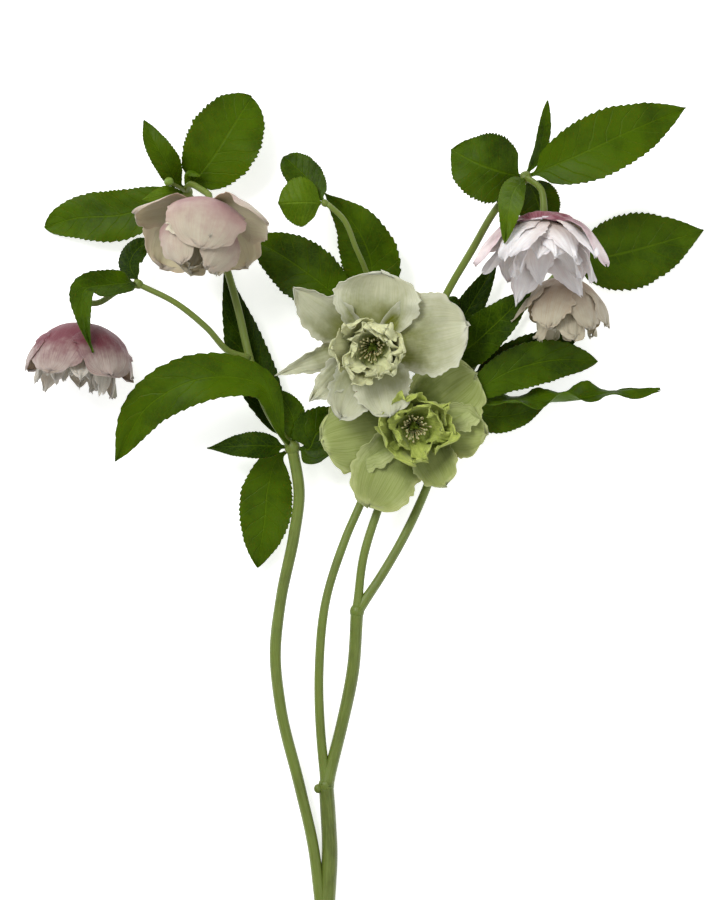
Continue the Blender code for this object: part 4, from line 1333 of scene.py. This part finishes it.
@dataclass
class StemWork:
    """The forked stem: ribbed tubes and swollen nodes.

    Attributes:
        step: Millimetres between a tube's rings.
        sides: Points round a tube.
        flare: Extra share of the radius where a side branch leaves its node.
        flare_reach: Millimetres in which that dies away.
        cup: Extra share of a pedicel's radius under its bloom.
        cup_reach: Millimetres in which that dies away.
        uneven: How uneven a tube's radius is, as a share of it.
        uneven_length: Millimetres in which its slowest waver comes round two and a half times.
        ribs: Height of the lengthwise ribs as a share of the radius.
        swelling: Half a node's length as a share of its radius.
        number_step: From one branch's own number to the next.
    """

    step: float = 2.2
    sides: int = 20
    flare: float = 0.28
    flare_reach: float = 5.0
    cup: float = 0.3
    cup_reach: float = 3.5
    uneven: float = 0.03
    uneven_length: float = 120.0
    ribs: float = 0.035
    swelling: float = 1.12
    number_step: float = 0.37

    def whole_route(self, name: str, branch: Branch) -> list[Array]:
        """A branch's route, which for a pedicel goes on straight in behind its bloom.

        Args:
            name: The branch's name, which for a pedicel is its bloom's.
            branch: The branch.

        Returns:
            The points.
        """
        if name not in PEDICELS:
            return branch.route
        bloom = BLOOMS[name]
        axis = unit(bloom.axis)
        return [*branch.route, bloom.seat - axis * PEDICEL_STRAIGHT, bloom.seat - axis * GAP]

    def tube(self, name: str, branch: Branch, number: float) -> Shell:
        """One tube, wider where it leaves its node and, for a pedicel, under its bloom.

        Args:
            name: The branch's name.
            branch: Its route and radii.
            number: Its own number.

        Returns:
            Its surface.
        """
        line = self.whole_route(name, branch)
        length = length_of(np.array(line))[-1]
        share = np.linspace(0, 1, max(12, round(length / self.step)))
        radius = branch.start_radius + share * (branch.end_radius - branch.start_radius)
        flare = self.flare * (name not in TRUNKS) * np.exp(-share * length / self.flare_reach)
        cup = self.cup * (name in PEDICELS) * np.exp(-(1 - share) * length / self.cup_reach)
        waver = wander(share * length / self.uneven_length, int(number * 9) + 3, 6)
        radius = radius * (1 + flare + cup) * (1 + self.uneven * waver)
        depth = FOOT_DEPTHS.get(name, 0.0)
        return Tube(smooth_path(line, share), radius, self.sides, number, self.ribs, depth).shell()

    def swellings(self) -> Iterator[Shell]:
        """Each node: a half-ellipse turned about the branch that it sits on.

        Yields:
            Its surface.
        """
        turn = np.linspace(0.12, math.pi - 0.12, 12)
        for place, radius in NODE_SWELLINGS.values():
            path = place + self.way_at(place) * (-np.cos(turn) * radius * self.swelling)[:, None]
            yield Tube(path, np.sin(turn) * radius, 14, tone=0.12).shell()

    def way_at(self, place: Array) -> Array:
        """The way that the nearest branch runs at a place.

        Args:
            place: The point in mm.

        Returns:
            A vector of length one.
        """
        lines = [smooth_path(branch.route, np.linspace(0, 1, 60)) for branch in BRANCHES.values()]
        line = min(lines, key=lambda points: np.linalg.norm(points - place, axis=1).min())
        nearest = int(np.linalg.norm(line - place, axis=1).argmin())
        return unit(line[min(nearest + 1, len(line) - 1)] - line[max(nearest - 1, 0)])

    def build(self, dresser: Dresser) -> None:
        """Makes the stem as one piece."""
        branches = enumerate({**BRANCHES, **PEDICELS}.items())
        tubes = [self.tube(name, branch, count * self.number_step) for count, (name, branch) in branches]
        dresser.dress("forked_stem", [*tubes, *self.swellings()], Skin.STALK, "stem", "stem")


@dataclass
class Foliage:
    """The leaves and bracts, each a thin toothed blade with a midrib that stands out.

    Attributes:
        rows: Cells along a leaf.
        columns: Cells across it.
        thickness: At the root, in mm.
        thin: At the margin, in mm.
        midrib: What the midrib adds at the root, in mm.
        tooth: The saw teeth's size as a share of the half width.
        narrow: Under this width in mm a leaf has few teeth and little relief.
        number_step: From one leaf's own number to the next.
    """

    rows: int = 96
    columns: int = 16
    thickness: float = 0.7
    thin: float = 0.4
    midrib: float = 0.75
    tooth: float = 0.075
    narrow: float = 10.0
    number_step: float = 0.173

    def seated(self, name: str, blade: Blade, seed: int) -> Blade:
        """The leaf with its root on its stem node, and the teeth and relief of its size.

        Args:
            name: Its CAD node.
            blade: Its shape.
            seed: Picks its wavering lines.

        Returns:
            The whole shape.
        """
        owner = LEAF_NODES[max((n for n in LEAF_NODES if name.startswith(n)), key=len)]
        centre, radius = NODE_SWELLINGS[owner]
        root = centre + unit(blade.midrib[1] - centre) * (radius + GAP)
        teeth, ruffle, pucker = (9, 0.3, 0.08) if blade.width < self.narrow else (23, 1.2, 0.3)
        blade = replace(blade, midrib=[root, *blade.midrib[1:]], seed=seed)
        return replace(blade, teeth=teeth, tooth=self.tooth, ruffle=ruffle, pucker=pucker)

    def thick(self, sheet: Sheet) -> Array:
        """Its thickness: less towards the margin, and more in a narrow ridge along the midrib.

        Args:
            sheet: The leaf's surface.

        Returns:
            Grid of thicknesses in mm.
        """
        reach = np.abs(sheet.across)
        flat = (self.thin - self.thickness) * reach * smooth_step(sheet.along, 0.05, 0.3)
        ridge = self.midrib * np.exp(-((reach * 14) ** 2)) * (1 - sheet.along) ** 0.7
        return self.thickness + flat + ridge

    def build(self, dresser: Dresser) -> None:
        """Makes each leaf as a piece of its own.

        Args:
            dresser: Dresses the pieces.
        """
        for seed, (name, blade) in enumerate(LEAVES.items(), start=3):
            sheet = self.seated(name, blade, seed).sheet(self.rows, self.columns)
            # The leaf's depth goes in as its tone's free value: painted shade on its green.
            shell = sheet.shell(self.thick(sheet), seed * self.number_step % 1, blade.depth)
            skin, slot = (Skin.YOUNG, "young_leaf") if name in YOUNG_LEAVES else (Skin.LEAF, "leaf")
            dresser.dress(name.replace("leaf_", "foliage_"), [shell], skin, slot, name)


@dataclass
class BloomWork:
    """One bloom's pieces: veined, ruffled petals on a receptacle, carpels, and a ring of stamens.

    Attributes:
        bloom: The bloom.
        seed: Sets how its petals, carpels and stamens vary.
        rows: Cells along a petal.
        columns: Cells across it.
        thickness: A petal's thickness in mm.
        steps: Straight steps of a petal's midrib; every fourth point of it is kept.
        start_radius: How far off the axis a petal starts, in mm.
        root: A petal's half width at its root, in mm.
        cup_height: The receptacle's height in mm.
        cup_back: Its radius at the back, in mm.
        cup_spread: What it gains by its rim, in mm.
        boss_radius: The boss's radius in mm.
        boss_height: Its height in mm.
        carpel_count: How many carpels.
        carpel_height: Their length with the style, in mm.
        carpel_radius: How much wider a carpel is than its style, in mm.
        style_radius: The style's radius in mm.
        stigma: What the style gains at its end, in mm.
        stamen_count: How many stamens.
        stamen_height: Length of the longest filament in mm.
        ring: How far off the axis the innermost stamens start, in mm.
        ring_step: From one of the three rings of stamens to the next, in mm.
        filament: A filament's radius in mm.
        anther: An anther's radius in mm.
        anther_length: Half an anther's length in mm.
    """

    bloom: Bloom
    seed: int
    rows: int = 54
    columns: int = 26
    thickness: float = 0.55
    steps: int = 24
    start_radius: float = 1.6
    root: float = 1.7
    cup_height: float = 4.0
    cup_back: float = 1.9
    cup_spread: float = 2.5
    boss_radius: float = 2.7
    boss_height: float = 2.4
    carpel_count: int = 3
    carpel_height: float = 7.6
    carpel_radius: float = 0.95
    style_radius: float = 0.24
    stigma: float = 0.1
    stamen_count: int = 34
    stamen_height: float = 8.5
    ring: float = 1.5
    ring_step: float = 0.55
    filament: float = 0.16
    anther: float = 0.5
    anther_length: float = 0.75

    def __post_init__(self) -> None:
        """Sets the bloom's own axes as rows: towards its up, sideways, and the way that it looks."""
        z = unit(self.bloom.axis)
        up = np.array(self.bloom.up, float)
        x = unit(up - (up @ z) * z)
        self.axes = np.array([x, np.cross(z, x), z])

    def blade(self, petal: Petal, seed: int) -> Blade:
        """A petal as a blade: its midrib turns from one angle off the axis to another as it runs out.

        Args:
            petal: The petal.
            seed: Picks its wavering lines.

        Returns:
            The blade.
        """
        share = (np.arange(self.steps) + 0.5) / self.steps
        angle = np.radians(petal.opens + (petal.ends - petal.opens) * share**petal.bow)
        step = petal.length / self.steps
        radial = self.start_radius + np.concatenate([[0], np.cumsum(np.sin(angle) * step)])
        axial = petal.level + np.concatenate([[0], np.cumsum(np.cos(angle) * step)])
        turn = np.radians(petal.azimuth + petal.swing * np.linspace(0, 1, self.steps + 1) ** 2)
        own = np.stack([radial * np.cos(turn), radial * np.sin(turn), axial], axis=1)[::4]
        out = np.array([math.cos(turn[0]), math.sin(turn[0]), 0.0])
        begin, end = (
            tuple((np.array([0, 0, math.sin(a)]) - out * math.cos(a)) @ self.axes)
            for a in (angle[0], angle[-1])
        )
        return Blade(
            list(self.bloom.seat + own @ self.axes), petal.width, widest=petal.widest,
            fullness=petal.fullness, root=self.root, face=begin, tip_face=end, cup=petal.cup,
            wave=petal.wave, waves=1.5, phase=petal.azimuth / 97, ruffle=petal.ruffle, jag=petal.jag,
            rib=PETAL_RIB, seed=seed,
        )

    def all_petals(self) -> list[Petal]:
        """The petals, and a tighter whorl of small ones that stand between the inner ones.

        Returns:
            The petals, from the outside in.
        """
        inner = [petal for petal in self.bloom.petals if petal.level > INNER_LEVEL]
        small = [
            replace(
                petal, azimuth=petal.azimuth + 180 / len(inner), length=petal.length * 0.82,
                width=petal.width * 0.8, opens=petal.opens - 16, ends=petal.ends - 4, level=petal.level + 0.4,
            )
            for petal in inner
        ]
        return self.bloom.petals + small

    def petals(self) -> Iterator[Shell]:
        """The petals, each a little off its drawn shape: outer ones by less, inner ones more ruffled.

        Yields:
            A petal's surface.
        """
        rng = np.random.default_rng(self.seed)
        for number, petal in enumerate(self.all_petals()):
            inside = petal.level > INNER_LEVEL
            loose, more_ruffle, more_jag = (1.0, 1.5, 1.8) if inside else (0.15, 1.0, 1.0)
            petal = replace(
                petal,
                ruffle=petal.ruffle * more_ruffle,
                jag=petal.jag * more_jag,
                azimuth=petal.azimuth + loose * rng.uniform(-9, 9),
                length=petal.length * (1 + loose * rng.uniform(-0.14, 0.08)),
                width=petal.width * (1 + loose * rng.uniform(-0.12, 0.12)),
                ends=petal.ends + loose * rng.uniform(-20, 10),
                swing=petal.swing + loose * rng.uniform(-16, 16),
            )
            sheet = self.blade(petal, self.seed * 31 + number).sheet(self.rows, self.columns)
            outer = smooth_step(np.maximum(np.abs(sheet.across), sheet.along), 0.6, 1.0)
            yield sheet.shell(self.thickness * (1 - 0.45 * outer), rng.random(), float(inside), petal.deep)

    def receptacle(self) -> Iterator[Shell]:
        """The green cup that the petals grow from: its radius rises as a quarter of a sine.

        Yields:
            Its surface.
        """
        share = np.linspace(0, 1, 14)
        path = self.bloom.seat + share[:, None] * self.cup_height * self.axes[2]
        yield Tube(path, self.cup_back + self.cup_spread * np.sin(share * math.pi / 2), 24).shell()

    def reaching(self, turn: float, rise: Array, lean: Array) -> Array:
        """A path in mm that rises from the seat and leans out of the axis at an angle round it."""
        out = np.cos(turn) * self.axes[0] + np.sin(turn) * self.axes[1]
        return self.bloom.seat + self.axes[2] * rise[:, None] + out * lean[:, None]

    def heart(self) -> Iterator[Shell]:
        """The dome of the boss and its carpels, which taper to bent styles.

        Yields:
            The surface of each.
        """
        floor = self.cup_height + GAP
        share = np.linspace(0, 1, 10)
        dome = self.bloom.seat + (floor + share[:, None] * self.boss_height) * self.axes[2]
        yield Tube(dome, self.boss_radius * np.sqrt(1.02 - 0.9 * share**2), 24, tone=0.6).shell()
        rng = np.random.default_rng(self.seed)
        along = np.linspace(0, 1, 16)
        carpel = self.carpel_radius * (1 - smooth_step(along, 0.35, 0.72))
        radius = carpel + self.style_radius + self.stigma * smooth_step(along, 0.92, 1.0)
        for i in range(self.carpel_count):
            turn = 2 * math.pi * i / self.carpel_count + rng.uniform(-0.2, 0.2)
            path = self.reaching(turn, floor + 1 + along * self.carpel_height, 1.0 + 1.3 * along**2.5)
            yield Tube(path, radius, 12, tone=0.2).shell()

    def stamens(self) -> Iterator[Shell]:
        """The stamens: a thin filament that leans out, and a long anther on its end.

        Yields:
            The surface of each.
        """
        rng = np.random.default_rng(self.seed + 5)
        floor = self.cup_height + GAP + 0.8
        along = np.linspace(0, 1, 7)
        turns = np.linspace(0.3, math.pi - 0.3, 5)
        for i in range(self.stamen_count):
            turn = GOLDEN_ANGLE * i + rng.uniform(-0.1, 0.1)
            height = self.stamen_height * rng.uniform(0.62, 1.0)
            lean = rng.uniform(0.16, 0.5)
            spread = self.ring + self.ring_step * (i % 3) + height * math.sin(lean) * along**1.4
            path = self.reaching(turn, floor + height * along * math.cos(lean), spread)
            yield Tube(path, np.full(len(along), self.filament), 5, tone=0.1).shell()
            tip = unit(path[-1] - path[-2] + self.axes[2] * rng.uniform(-0.6, 0.6) * 0.5)
            anther = path[-1] + tip * (1 - np.cos(turns))[:, None] * self.anther_length
            yield Tube(anther, np.sin(turns) * self.anther, 6, tone=-0.2).shell()

    def build(self, dresser: Dresser, name: str) -> None:
        """Makes the bloom as four pieces.

        Args:
            dresser: Dresses the pieces.
            name: The bloom's name.
        """
        slot = PETAL_SLOTS.get(name, name + "_petal")
        petals, boss = f"bloom_{name}_petals", f"bloom_{name}_boss"
        dresser.dress(f"petals_{name}", self.petals(), self.bloom.skin, slot, petals)
        dresser.dress(f"receptacle_{name}", self.receptacle(), Skin.STALK, slot, petals)
        dresser.dress(f"carpels_{name}", self.heart(), Skin.CARPEL, "boss", boss)
        dresser.dress(f"stamens_{name}", self.stamens(), Skin.STAMEN, "boss", boss)


def build_bud(dresser: Dresser) -> None:
    """Makes the unopened bud beside the blush bloom: a pointed egg of closed sepals.

    Args:
        dresser: Dresses it.
    """
    turn = np.linspace(0.1, math.pi - 0.12, 24)
    path = box_middle("bud_small") + unit(BUD_AXIS) * (-np.cos(turn) * BUD_HALF_LENGTH)[:, None]
    radius = BUD_RADIUS * np.sin(turn) ** 0.9 * (1 - 0.12 * np.cos(turn + math.pi))
    sepals = Tube(path, radius, 24, ribs=0.05).shell()
    dresser.dress("small_bud", [sepals], Skin.YOUNG_STALK, "young_leaf", "bud_small")


@dataclass
class Light:
    """A square soft light that looks at the blooms.

    Attributes:
        name: Its name.
        place: Where it hangs, in metres.
        size: Its side in metres.
        power: Its power in watts.
    """

    name: str
    place: tuple
    size: float
    power: float

    def build(self) -> None:
        """Hangs it."""
        light = bpy.data.lights.new(self.name, "AREA")
        light.size = self.size
        light.energy = self.power
        made = bpy.data.objects.new(self.name, light)
        made.location = self.place
        way = Vector(BLOOMS_MIDDLE) - Vector(self.place)
        made.rotation_euler = way.to_track_quat("-Z", "Y").to_euler()
        bpy.context.scene.collection.objects.link(made)


@dataclass
class Studio:
    """The floor, the world, and the camera straight over the spray.

    Attributes:
        height: Millimetres from the camera to the middle of the blooms' height.
        level: The middle of the blooms' height in mm.
        frame_height: Pixels down the frame.
        sensor: The camera's sensor in mm.
        world: The strength of the white world.
        floor_size: The floor's side in metres.
        floor_level: Its height in metres.
    """

    height: float = 5000.0
    level: float = 28.0
    frame_height: float = 900.0
    sensor: float = 36.0
    world: float = 0.49
    floor_size: float = 6.0
    floor_level: float = -0.0006

    def add_floor(self) -> None:
        """A plain pale floor under the spray."""
        bpy.ops.mesh.primitive_plane_add(size=self.floor_size, location=(0, 0, self.floor_level))
        floor = bpy.context.object
        floor.name = "floor"
        constants = {
            "Base Color": (0.9, 0.9, 0.9, 1),
            "Roughness": 0.9,
            "Specular IOR Level": 0.1,
            "Emission Color": (1, 1, 1, 1),
            "Emission Strength": 0.6,
        }
        floor.data.materials.append(Surface("floor_white", constants).material)

    def add_camera(self) -> None:
        """A long lens that looks straight down at the frame's middle."""
        camera = bpy.data.cameras.new("camera")
        middle = spot(*FRAME_CENTRE, self.level)
        camera.sensor_width = self.sensor
        camera.lens = self.sensor * self.height / (self.frame_height * MM_PER_PIXEL)
        camera.clip_end = 50.0
        made = bpy.data.objects.new("camera", camera)
        made.location = (middle[0] * MM, middle[1] * MM, (self.level + self.height) * MM)
        bpy.context.scene.collection.objects.link(made)
        bpy.context.scene.camera = made

    def build(self) -> None:
        """Sets up the studio."""
        world = bpy.data.worlds.new("studio")
        world.use_nodes = True
        background = world.node_tree.nodes["Background"]
        background.inputs["Color"].default_value = (1.0, 1.0, 1.0, 1.0)
        background.inputs["Strength"].default_value = self.world
        bpy.context.scene.world = world
        bpy.context.scene.view_settings.view_transform = "Standard"
        self.add_floor()
        self.add_camera()
        for light in LIGHTS:
            light.build()


LIGHTS = [Light("key", (-0.9, 1.0, 1.7), 0.8, 34.0), Light("fill", (1.2, -0.5, 1.6), 1.4, 8.5)]


def main() -> None:
    """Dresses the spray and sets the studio."""
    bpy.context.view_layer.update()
    dresser = Dresser()
    StemWork().build(dresser)
    Foliage().build(dresser)
    for seed, (name, bloom) in enumerate(BLOOMS.items(), start=11):
        BloomWork(bloom, seed).build(dresser, name)
    build_bud(dresser)
    Studio().build()


if __name__ == "__main__":
    main()
